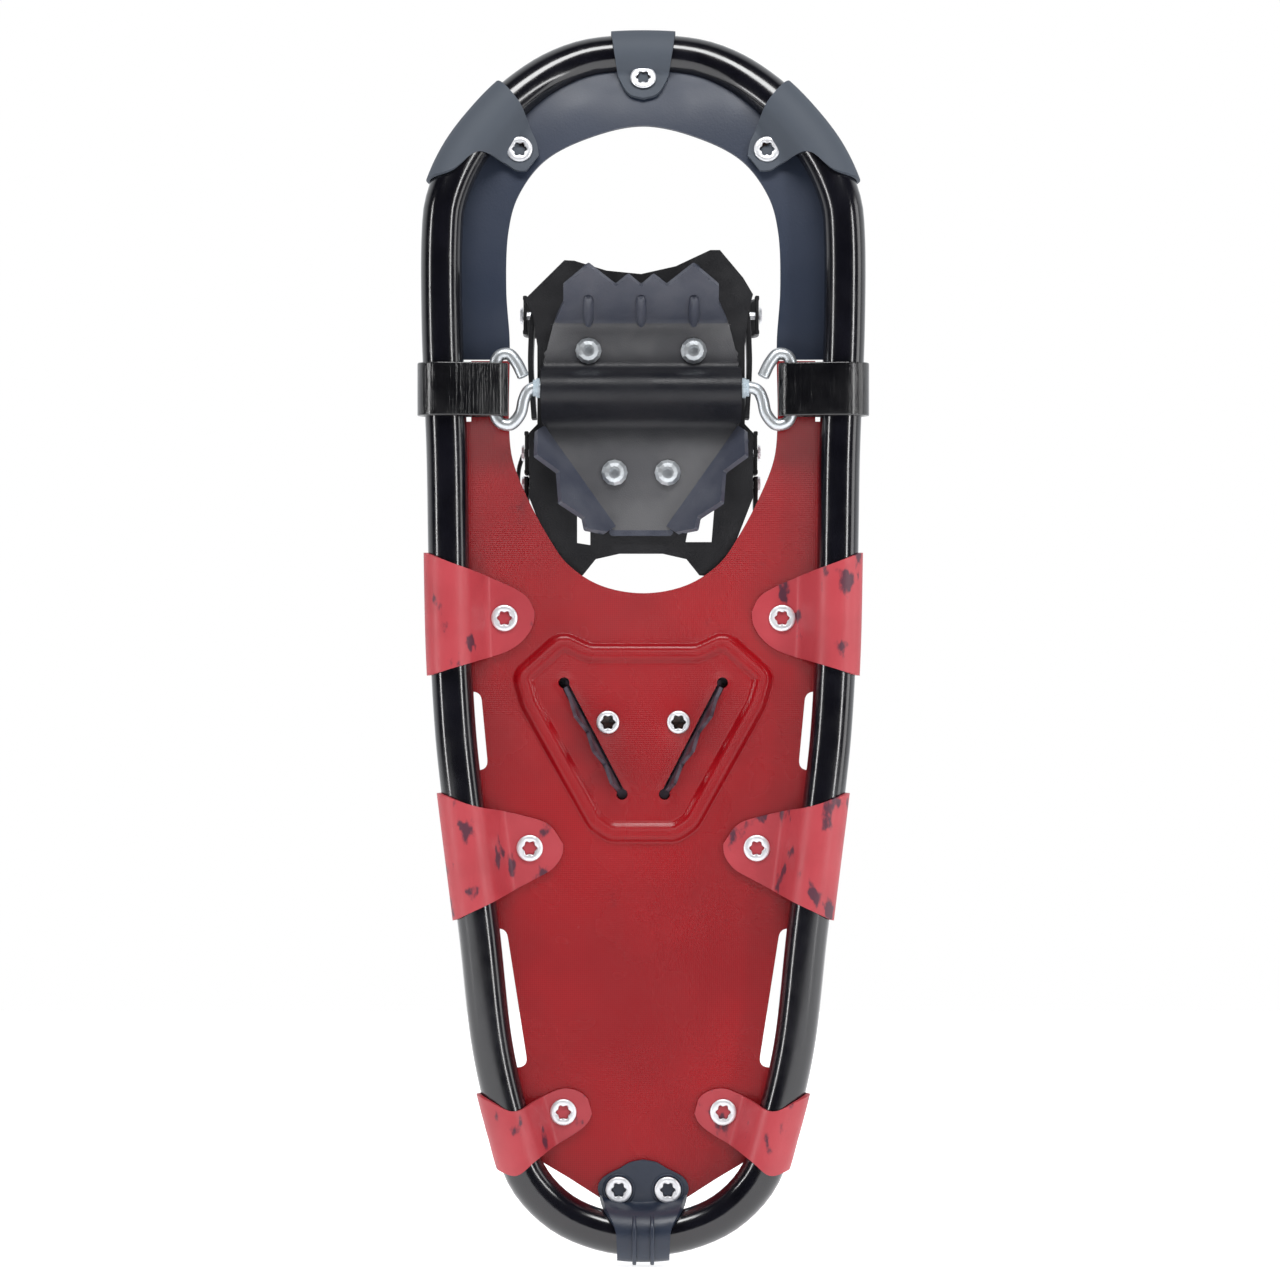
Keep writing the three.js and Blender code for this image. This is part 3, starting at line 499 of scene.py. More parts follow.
def smooth_line(points: Sequence[Sequence[float]], steps: int, closed: bool = False) -> list[Vector]:
    """Runs a smooth centripetal line through points.

    Args:
        points: the points, each with two or three coordinates.
        steps: samples between each two points.
        closed: whether the line joins its own start.

    Returns: the line's points.
    """
    given = [Vector(p).to_3d() for p in points]
    count = len(given)
    if not closed:
        given = [2 * given[0] - given[1], *given, 2 * given[-1] - given[-2]]
    line = []
    spans = count if closed else count - 1
    for i in range(spans):
        p = [given[(i + k - 1) % count] if closed else given[i + k] for k in range(4)]
        t = [0.0]
        for a, b in zip(p, p[1:]):
            t.append(t[-1] + max((b - a).length, 1e-9) ** 0.5)
        for j in range(steps):
            s = t[1] + (t[2] - t[1]) * j / steps
            a = [
                (t[k + 1] - s) / (t[k + 1] - t[k]) * p[k] + (s - t[k]) / (t[k + 1] - t[k]) * p[k + 1]
                for k in range(3)
            ]
            b = [
                (t[k + 2] - s) / (t[k + 2] - t[k]) * a[k] + (s - t[k]) / (t[k + 2] - t[k]) * a[k + 1]
                for k in range(2)
            ]
            line.append((t[2] - s) / (t[2] - t[1]) * b[0] + (s - t[1]) / (t[2] - t[1]) * b[1])
    if not closed:
        line.append(given[-2])
    return line


def lookup(table: Sequence[Pair], key: float) -> float:
    """Reads a table of pairs with straight lines between them.

    Args:
        table: pairs in rising order of their first number.
        key: where to read.

    Returns: the value there, or the end value outside the table.
    """
    if key <= table[0][0]:
        return table[0][1]
    for (a, b), (c, d) in zip(table, table[1:]):
        if key <= c:
            return b + (d - b) * (key - a) / max(c - a, 1e-9)
    return table[-1][1]


class FrameLine:
    """Middle line of the frame tube, from the tail up the left side and round."""

    SAMPLES = 24

    def __init__(self, size: TubeSize) -> None:
        """Samples the line evenly.

        Args:
            size: the tube's sizes.
        """
        self.size = size
        left = [(-x, z) for x, z in reversed(size.half)]
        outline = [(0, size.tail), *left, (0, size.toe), *size.half]
        self.points = [p.to_2d() for p in smooth_line(outline, self.SAMPLES, closed=True)]
        self.points.append(self.points[0])
        self.ways = [0.0]
        for a, b in zip(self.points, self.points[1:]):
            self.ways.append(self.ways[-1] + (b - a).length)

    @property
    def length(self) -> float:
        """Returns: the length of the closed line."""
        return self.ways[-1]

    def at(self, way: float) -> tuple[Vector, Vector]:
        """Finds a point and the direction of the deck there.

        Args:
            way: distance along the line from the tail.

        Returns: the point, and the unit vector toward the deck.
        """
        way %= self.length
        low, high = 0, len(self.ways) - 1
        while high - low > 1:
            middle = (low + high) // 2
            low, high = (middle, high) if self.ways[middle] <= way else (low, middle)
        a, b = self.points[low], self.points[high]
        share = (way - self.ways[low]) / max(self.ways[high] - self.ways[low], 1e-9)
        before = self.points[low - 1 if low else -2]
        after = self.points[(high + 1) % (len(self.points) - 1)]
        along = (b - a).normalized() * 2
        along = along + (a - before).normalized() * (1 - share) + (after - b).normalized() * share
        along.normalize()
        return a.lerp(b, share), Vector((along.y, -along.x))

    def curl(self, x: float, y: float, z: float) -> Vector:
        """Curls a point of the straight frame up into the toe.

        Args:
            x: across the shoe.
            y: toward the boot side.
            z: height along the straight frame.

        Returns: the curled point, in millimetres.
        """
        past = z - self.size.bend_start
        if past <= 0:
            return Vector((x, y, z))
        angle = past / self.size.bend_radius
        radius = self.size.bend_radius - y
        return Vector((
            x, self.size.bend_radius - radius * math.cos(angle),
            self.size.bend_start + radius * math.sin(angle),
        ))

    def place(self, way: float, sole: float, inward: float) -> Vector:
        """Places a point beside the tube.

        Args:
            way: distance along the line.
            sole: distance from the line toward the sole.
            inward: distance from the line toward the deck.

        Returns: the point, in millimetres.
        """
        point, toward = self.at(way)
        point = point + toward * inward
        return self.curl(point.x, -sole, point.y)

    def way_at(self, height: float) -> float:
        """Finds where the left side reaches a height of the straight frame.

        Args:
            height: the height.

        Returns: the distance along the line.
        """
        low, high = 0.0, self.length / 2
        for _ in range(30):
            middle = (low + high) / 2
            low, high = (middle, high) if self.at(middle)[0].y < height else (low, middle)
        return low

    def side_edge(self, start: float, end: float, count: int) -> list[Pair]:
        """Lists points of the line on the right side between two heights.

        Args:
            start: the first height of the straight frame.
            end: the last height.
            count: pieces between them.

        Returns: the points as seen from the sole.
        """
        first, last = self.way_at(start), self.way_at(end)
        points = [self.place(first + (last - first) * i / count, 0, 0) for i in range(count + 1)]
        return [(-p.x, p.z) for p in points]

    def flat_height(self, z: float, sole: float) -> float:
        """Undoes the curl for a height seen from the sole.

        Args:
            z: the height as seen.
            sole: distance of the point from the line toward the sole.

        Returns: the height along the straight frame.
        """
        size = self.size
        past = (z - size.bend_start) / (size.bend_radius + sole)
        if past <= 0:
            return z
        return size.bend_start + size.bend_radius * math.asin(min(past, 0.99))

    def locate(self, x: float, z: float) -> Pair:
        """Finds the place of a point of the straight frame, on the left or near the toe.

        Args:
            x: across the shoe.
            z: height along the straight frame.

        Returns: the distance toward the deck, and the distance along the line.
        """
        spot = Vector((x, z))
        half = len(self.points) // 2 + self.SAMPLES
        best = min(range(half), key=lambda i: (self.points[i] - spot).length_squared)
        way = self.ways[best]
        for reach in (2.0, 1.0, 0.5, 0.25, 0.1):
            options = [way - reach, way, way + reach]
            way = min(options, key=lambda w: (self.at(w)[0] - spot).length_squared)
        point, toward = self.at(way)
        return (spot - point).dot(toward), way


# ---- mesh making ------------------------------------------------------------------------------


def mesh_object(
    name: str, verts: Sequence[Vector], faces: Sequence[Sequence[int]], finish: Finish, crease: float = 35,
) -> bpy.types.Object:
    """Makes a smooth-shaded object that keeps its sharp edges.

    Args:
        name: the object's name.
        verts: its points in the row frame, in metres.
        faces: its faces as lists of point numbers.
        finish: its finish.
        crease: edges sharper than this many degrees stay sharp.

    Returns: the object.
    """
    mesh = bpy.data.meshes.new(name)
    mesh.from_pydata([tuple(v) for v in verts], [], [tuple(f) for f in faces])
    mesh.update()
    mesh.shade_smooth()
    mesh.set_sharp_from_angle(angle=math.radians(crease))
    mesh.materials.append(finish.material())
    made = bpy.data.objects.new(name, mesh)
    bpy.context.scene.collection.objects.link(made)
    return made


def loft(rings: Sequence[Sequence[Vector]], closed: bool = False, caps: bool = True) -> Loft:
    """Skins a row of rings that have the same number of points.

    Args:
        rings: the rings, in order.
        closed: whether the last ring joins the first.
        caps: whether the end rings are filled.

    Returns: the points and the faces.
    """
    size = len(rings[0])
    verts = [point for ring in rings for point in ring]
    faces: Faces = []
    for i in range(len(rings) if closed else len(rings) - 1):
        after = (i + 1) % len(rings)
        for j in range(size):
            k = (j + 1) % size
            faces.append((i * size + j, i * size + k, after * size + k, after * size + j))
    if caps and not closed:
        faces.append(tuple(reversed(range(size))))
        faces.append(tuple(range(len(verts) - size, len(verts))))
    return verts, faces


def circle(radius: float, sides: int) -> list[Pair]:
    """Lists the corners of a regular ring.

    Args:
        radius: its radius.
        sides: its number of corners.

    Returns: the corners.
    """
    return [
        (radius * math.cos(math.tau * i / sides), radius * math.sin(math.tau * i / sides))
        for i in range(sides)
    ]


def bevelled(obj: bpy.types.Object, width: float, segments: int = 2, angle: float = 30) -> bpy.types.Object:
    """Rounds an object's sharp edges.

    Args:
        obj: the object.
        width: width of the rounding, in millimetres.
        segments: faces across it.
        angle: edges sharper than this many degrees are rounded.

    Returns: the same object.
    """
    bevel = obj.modifiers.new("rounded_edges", "BEVEL")
    bevel.width = width / 1000
    bevel.segments = segments
    bevel.limit_method = "ANGLE"
    bevel.angle_limit = math.radians(angle)
    bevel.harden_normals = True
    return obj


def thick(obj: bpy.types.Object, thickness: float, even: bool = True) -> bpy.types.Object:
    """Gives a surface a thickness, half on each side.

    Args:
        obj: the surface.
        thickness: in millimetres.
        even: whether sharp bends keep the full thickness.

    Returns: the same object.
    """
    solid = obj.modifiers.new("thickness", "SOLIDIFY")
    solid.thickness = thickness / 1000
    solid.offset = 0
    solid.use_even_offset = even
    return obj


def keep(obj: bpy.types.Object, body: Body, slot: str, *nodes: str) -> bpy.types.Object:
    """Ties a visual piece to its body and hides the CAD nodes it stands for.

    Args:
        obj: the piece.
        body: the body it rides on.
        slot: the record's material slot; not used.
        nodes: the CAD nodes it replaces.

    Returns: the same piece.
    """
    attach(obj, body.value)
    if nodes:
        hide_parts(*nodes)
    LOG.info("built %s on %s", obj.name, body.value)
    return obj


# ---- frame ------------------------------------------------------------------------------------


class FrameTube:
    """The bent frame tube."""

    def __init__(self, line: FrameLine, row: Row) -> None:
        """Keeps the line the tube follows.

        Args:
            line: the tube's middle line.
            row: the row frame.
        """
        self.line, self.row = line, row

    def build(self, steps: int = 260, sides: int = 40) -> bpy.types.Object:
        """Sweeps a round section along the line.

        Args:
            steps: rings along the tube.
            sides: corners of each ring.

        Returns: the tube.
        """
        rings = []
        for i in range(steps):
            way = self.line.length * i / steps
            ring = [self.line.place(way, u, v) for u, v in circle(self.line.size.radius, sides)]
            rings.append([self.row.put(*p) for p in ring])
        tube = mesh_object("tube", *loft(rings, closed=True), TUBE)
        return keep(tube, Body.FRAME, "tube", "frame_tube")


@dataclass(frozen=True)
class Fold:
    """A strap folded round the tube: its levels and landings beside the tube, in millimetres."""

    thickness: float
    front: float
    back: float
    landing: float = 17.0
    back_landing: float = 13.5
    gap: float = 0.3


@dataclass(frozen=True)
class StrapShape:
    """Long edges of a strap as seen from the sole, each from beyond the tube to the strap's nose.

    A strap across the shoe's middle line has one edge, and the other mirrors it.
    """

    edges: tuple[tuple[Pair, ...], ...]


class FoldedStrap:
    """A strap that goes round the tube, with both ends on the deck."""

    def __init__(
        self, line: FrameLine, row: Row, fold: Fold, shape: StrapShape, middle: float = 0.0,
    ) -> None:
        """Finds where both edges run beside the tube.

        Args:
            line: the tube's middle line.
            row: the row frame.
            fold: levels and landings.
            shape: its edges.
            middle: distance along the line of the middle of a strap with one edge.
        """
        self.line, self.row, self.fold = line, row, fold
        self.edges = [self._edge(edge) for edge in shape.edges]
        if len(self.edges) == 1:
            self.edges.append([(inward, 2 * middle - way) for inward, way in self.edges[0]])
        self.reach = min(edge[-1][0] for edge in self.edges)

    def _edge(self, edge: Sequence[Pair]) -> list[Pair]:
        """Turns a seen edge into distances beside and along the tube.

        Args:
            edge: points of the edge on the right side of the shoe.

        Returns: pairs of distance toward the deck and distance along the tube.
        """
        places = []
        face = self.fold.thickness / 2
        radius = self.line.size.radius + self.fold.gap + face
        for x, z in edge:
            sole = radius
            for _ in range(6):
                inward, way = self.line.locate(-x, self.line.flat_height(z, sole))
                if inward < self.fold.landing:
                    sole = max(math.sqrt(max(radius**2 - inward**2, 0)), -self.fold.front) + face
                else:
                    sole = -self.fold.front + face
            places.append((inward, way))
        dense = smooth_line(places, 10)
        rising = [dense[0]]
        for point in dense[1:]:
            if point.x > rising[-1].x + 1e-4:
                rising.append(point)
        return [(p.x, p.y) for p in rising]

    def profile(self) -> list[Pair]:
        """Lists the strap's middle line beside the tube, from its back nose to its front nose.

        Returns: pairs of distance toward the sole and distance toward the deck.
        """
        fold = self.fold
        radius = self.line.size.radius + fold.gap + fold.thickness / 2

        def touch(level: float, inward: float, turn: int) -> float:
            """Returns: the angle at which a leg through a point touches the bend."""
            return math.atan2(level, inward) + turn * math.acos(radius / math.hypot(level, inward))

        start = touch(-fold.back, fold.back_landing, -1)
        end = touch(-fold.front, fold.landing, 1) - math.tau
        count = 34
        turn = [start + (end - start) * i / count for i in range(count + 1)]
        arc = [(radius * math.sin(angle), radius * math.cos(angle)) for angle in turn]
        front = self._leg(arc[-1], -fold.front, fold.landing)
        back = self._leg(arc[0], -fold.back, fold.back_landing)
        return [*reversed(back), *arc, *front]

    def _leg(self, leaving: Pair, level: float, landing: float) -> list[Pair]:
        """Lists the strap's middle line from the tube to a nose.

        Args:
            leaving: where the strap leaves the tube.
            level: distance of the leg toward the sole.
            landing: distance toward the deck at which it lies flat.

        Returns: the pairs past the leaving point.
        """
        def part(share: float) -> Pair:
            """Returns: the point at a share of the straight way to the landing."""
            return tuple(a + (b - a) * share for a, b in zip(leaving, (level, landing)))

        settling = (level + (part(0.94)[0] - level) * 0.5, landing + 0.8)
        bend = smooth_line([leaving, part(0.45), part(0.8), settling, (level, landing + 3.2)], 4)
        leg = [(p.x, p.y) for p in bend[1:]]
        rest = self.reach - leg[-1][1]
        count = 18
        leg += [(level, leg[-1][1] + rest * math.sin(math.pi / 2 * i / count)) for i in range(1, count)]
        return leg

    def point(self, sole: float, inward: float, share: float) -> Vector:
        """Places a point of the strap.

        Args:
            sole: distance toward the sole.
            inward: distance toward the deck.
            share: from 0 at one edge to 1 at the other.

        Returns: the point, in millimetres, on the left side.
        """
        first, second = (lookup(edge, inward) for edge in self.edges)
        return self.line.place(first + (second - first) * share, sole, inward)

    def build(self, name: str, side: Side, finish: Finish, across: int = 18) -> bpy.types.Object:
        """Lays a grid between both edges and thickens it.

        Args:
            name: the piece's name.
            side: side of the shoe.
            finish: its finish.
            across: faces from edge to edge.

        Returns: the strap.
        """
        shares = [j / across for j in range(across + 1)]
        grid = [[self.point(sole, inward, share) for share in shares] for sole, inward in self.profile()]
        flip = -side.value
        verts = [self.row.put(p.x * flip, p.y, p.z) for ring in grid for p in ring]
        width = across + 1
        faces = [
            (i * width + j, i * width + j + 1, (i + 1) * width + j + 1, (i + 1) * width + j)[::flip]
            for i in range(len(grid) - 1) for j in range(across)
        ]
        strap = mesh_object(name, verts, faces, finish, crease=60)
        return bevelled(thick(strap, self.fold.thickness), 0.45, 2, 50)


@dataclass(frozen=True)
class WrapSizes:
    """Shapes of the folded straps of both decks, on the right side of the shoe."""

    deck_fold: Fold = Fold(1.8, 8.6, 13.0, back_landing=-1.2)
    toe_fold: Fold = Fold(1.8, 3.6, 9.2, 15.5)
    toe_middle_fold: Fold = Fold(1.8, -0.9, 3.6, 12.6)
    clip_ring: tuple[Pair, ...] = (
        (4.6, -0.6), (7.6, -0.6), (7.5, 0.35), (7.1, 0.7), (6.6, 0.7), (6.3, 0.3), (4.6, 0.2),
    )
    clip_fold: Fold = Fold(2.5, 8.25, 13.35, 13.0, 11.0)
    deck: tuple[StrapShape, ...] = (
        StrapShape((
            ((106, 328.4), (97, 325), (78, 317.6), (60, 310.2), (53.4, 305.6), (50.1, 299.1)),
            ((106, 267.5), (97.7, 270), (79, 275.8), (61.2, 281.6),
             (54, 287.6), (50.6, 294), (50.1, 298.7)),
        )),
        StrapShape((
            ((104, 218.6), (93.2, 215.5), (75.1, 209.3), (56.5, 205.2), (43.6, 200.8), (36.9, 191.8)),
            ((98, 151), (85.7, 157.8), (71, 165.1), (50.2, 175.6),
             (41.6, 180.8), (37.4, 187), (36.9, 191.2)),
        )),
        StrapShape((
            ((84, 82), (70, 74.7), (59.2, 70.2), (49.5, 74),
             (36.6, 79), (28.6, 77), (24.6, 72.6), (23.6, 67.9)),
            ((74, 46.8), (65.5, 42.8), (57.4, 41), (48.9, 47.8), (32, 57.8), (25.7, 63), (23.6, 67.5)),
        )),
    )
    toe_middle: StrapShape = StrapShape((
        ((15.2, 575), (14.4, 566), (13, 556), (10.4, 545.4), (6.4, 539.6), (0.3, 537.6)),
    ))
    toe_side: StrapShape = StrapShape((
        ((74, 552), (62, 540.8), (55.6, 530), (49.8, 517.4), (48.3, 510.2)),
        ((106, 497), (88, 502), (75.5, 511.2), (64.5, 506.6),
         (58.5, 503.2), (52.4, 503.6), (48.6, 508.2), (48.3, 509.8)),
    ))
    clip: StrapShape = StrapShape((
        ((11.6, -9), (11.8, -2), (12.2, 10), (13.2, 17), (19.8, 29),
         (21, 33.5), (18.8, 37.9), (7, 44.6), (0.3, 46.2)),
    ))


@dataclass(frozen=True)
class RivetPlan:
    """Where the rivets sit, on the right side of the shoe, in millimetres."""

    deck: tuple[Pair, ...] = ((64.1, 296.2), (52.4, 190), (36.9, 68.1))
    heel: Pair = (16.3, 248.1)
    tail: Pair = (11.3, 32.4)
    toe: Pair = (57.2, 512.4)
    toe_middle: Pair = (0, 545.6)
    wrap_face: float = 7.7
    deck_face: float = 9.1
    clip_face: float = 6.3


# ---- flat and bent sheets -----------------------------------------------------------------------


def inside(points: np.ndarray, loops: Sequence[Sequence[Pair]]) -> np.ndarray:
    """Tells which points lie inside nested loops.

    Args:
        points: the points, one row each.
        loops: the outline and its holes.

    Returns: one truth value for each point.
    """
    result = np.zeros(len(points), bool)
    for loop in loops:
        for (x0, z0), (x1, z1) in zip(loop, [*loop[1:], loop[0]]):
            crosses = (z0 > points[:, 1]) != (z1 > points[:, 1])
            if z0 != z1:
                at = x0 + (points[:, 1] - z0) / (z1 - z0) * (x1 - x0)
                result ^= crosses & (points[:, 0] < at)
    return result


def distance_to(points: np.ndarray, loop: Sequence[Pair]) -> np.ndarray:
    """Measures how far points are from a loop.

    Args:
        points: the points, one row each.
        loop: the closed loop.

    Returns: the distances.
    """
    best = np.full(len(points), 1e9)
    for start, end in zip(loop, [*loop[1:], loop[0]]):
        a, edge = np.array(start), np.subtract(end, start)
        share = np.clip(((points - a) @ edge) / max(edge @ edge, 1e-12), 0, 1)
        best = np.minimum(best, np.linalg.norm(points - a - share[:, None] * edge, axis=1))
    return best


def rounded(corners: Sequence[Pair], radius: float | Sequence[float], steps: int = 6) -> list[Pair]:
    """Rounds the corners of a closed outline.

    Args:
        corners: its corners.
        radius: the rounding, one number or one for each corner.
        steps: straight pieces in each rounding.

    Returns: the rounded outline.
    """
    radii = [radius] * len(corners) if isinstance(radius, (int, float)) else radius
    outline = []
    for i, corner in enumerate(corners):
        here = Vector(corner)
        back, ahead = Vector(corners[i - 1]) - here, Vector(corners[(i + 1) % len(corners)]) - here
        angle = back.angle(ahead)
        cut = min(radii[i] / max(math.tan(angle / 2), 1e-6), back.length * 0.49, ahead.length * 0.49)
        if cut < 0.05:
            outline.append((here.x, here.y))
            continue
        start, end = here + back.normalized() * cut, here + ahead.normalized() * cut
        for k in range(steps + 1):
            t = k / steps
            point = start * (1 - t) ** 2 + here * (2 * t * (1 - t)) + end * t**2
            outline.append((point.x, point.y))
    return outline


def resampled(loop: Sequence[Pair], pitch: float) -> list[Pair]:
    """Splits a loop's long edges.

    Args:
        loop: the closed loop.
        pitch: the longest edge wanted.

    Returns: the finer loop.
    """
    fine = []
    for start, end in zip(loop, [*loop[1:], loop[0]]):
        count = max(1, math.ceil(math.dist(start, end) / pitch))
        fine += [tuple(a + (b - a) * i / count for a, b in zip(start, end)) for i in range(count)]
    return fine


@dataclass
class Sheet:
    """A sheet cut to loops and bent by a rule that places each of its points."""

    loops: Sequence[Sequence[Pair]]
    pitch: float
    bend: Bend
    thickness: float
    finer: Sequence[tuple[Sequence[Pair], float]] = field(default_factory=list)

    def _seeds(self) -> np.ndarray:
        """Spreads inner points over the sheet.

        Returns: the points, one row each.
        """
        edge = np.array([p for loop in self.loops for p in loop])
        low, high = edge.min(axis=0), edge.max(axis=0)
        zones = [*self.finer, (None, self.pitch)]
        kept = []
        for zone, pitch in zones:
            step = pitch * 0.866
            rows = np.arange(low[1], high[1], step)
            columns = np.arange(low[0], high[0], pitch)
            grid = np.array([(x + (i % 2) * pitch / 2, z) for i, z in enumerate(rows) for x in columns])
            grid = grid[inside(grid, self.loops)]
            if zone is not None:
                grid = grid[inside(grid, [zone])]
            else:
                for other, _ in self.finer:
                    grid = grid[~inside(grid, [other])]
            near = np.min(
                [np.hypot(grid[:, 0] - x, grid[:, 1] - z) for x, z in edge], axis=0,
            )
            kept.append(grid[near > pitch * 0.5])
        return np.concatenate(kept)

    def build(self, name: str, row: Row, finish: Finish) -> bpy.types.Object:
        """Meshes the sheet, bends it and thickens it.

        Args:
            name: the piece's name.
            row: the row frame.
            finish: its finish.

        Returns: the sheet.
        """
        coords: list[Vector] = []
        edges: list[tuple[int, int]] = []
        for loop in self.loops:
            first = len(coords)
            coords += [Vector(p) for p in loop]
            edges += [(first + i, first + (i + 1) % len(loop)) for i in range(len(loop))]
        coords += [Vector(p) for p in self._seeds()]
        points, _, triangles, *_ = delaunay_2d_cdt(coords, edges, [], 0, 1e-4)
        flat = np.array([tuple(p) for p in points])
        corners = np.array([tuple(t) for t in triangles])
        corners = corners[inside(flat[corners].mean(axis=1), self.loops)]
        places = self.bend(flat)
        used = sorted(set(corners.ravel().tolist()))
        renumber = {old: new for new, old in enumerate(used)}
        verts = [row.put(*places[i]) for i in used]
        faces = [tuple(renumber[i] for i in triangle) for triangle in corners.tolist()]
        return thick(mesh_object(name, verts, faces, finish, crease=55), self.thickness, even=False)


def bent_by(profile: Sequence[Pair]) -> Bend:
    """Makes the bending rule of a sheet whose level depends on the height alone.

    Args:
        profile: pairs of height and distance toward the boot side, rising.

    Returns: the rule.
    """
    heights, levels = np.array(profile).T
    return lambda flat: np.column_stack([flat[:, 0], np.interp(flat[:, 1], heights, levels), flat[:, 1]])


def mirrored(points: Sequence[Pair]) -> list[Pair]:
    """Mirrors points about the shoe's middle line, in reverse order.

    Args:
        points: the points.

    Returns: their mirror images.
    """
    return [(-x, z) for x, z in reversed(points)]


def on_side(points: Sequence[Pair], side: Side) -> list[Pair]:
    """Puts points of the right side on a side.

    Args:
        points: the points.
        side: the side.

    Returns: the points.
    """
    return [(x * side.value, z) for x, z in points]


def ring_at(middle: Pair, radius: float, sides: int = 28) -> list[Pair]:
    """Lists the corners of a ring about a point.

    Args:
        middle: its middle.
        radius: its radius.
        sides: its number of corners.

    Returns: the corners.
    """
    return [(middle[0] + x, middle[1] + z) for x, z in circle(radius, sides)]


# ---- decks --------------------------------------------------------------------------------------


@dataclass(frozen=True)
class DeckSizes:
    """Outlines of the main deck on the right side of the shoe, in millimetres."""

    face: float = 9.8
    thickness: float = 2.0
    join: float = 415.0
    notch: Pair = (79.5, 387)
    opening: tuple[Pair, ...] = (
        (61.7, 415), (62, 385), (60.5, 370), (54.6, 354),
        (43.9, 333.7), (35.2, 321.4), (20.2, 311.5), (0, 307.7),
    )
    tail: tuple[Pair, ...] = ((48.9, 46.2), (34.6, 37.7), (19.1, 27.8), (9, 25.4))
    upper_slot: tuple[Pair, ...] = ((96, 262), (75, 262.2), (71.6, 225.9), (96, 226))
    lower_slot: tuple[Pair, ...] = ((84, 152.7), (63.2, 152.7), (53.2, 88.6), (78, 88))
    slot_radius: float = 4.5
    slit_outer: Pair = (36.6, 266.3)
    slit_inner: Pair = (9.8, 214.8)
    slit_width: float = 3.4
    slit_end: float = 2.5
    shield: tuple[Pair, ...] = (
        (24.4, 284), (37.9, 290.5), (60.4, 270.5), (56, 255), (25, 199.2), (16, 193.2),
    )
    shield_radii: tuple[float, ...] = (9, 10, 9, 16, 14, 12)
    rim: float = 7.0
    rise: float = 2.6
    sink: float = 1.7


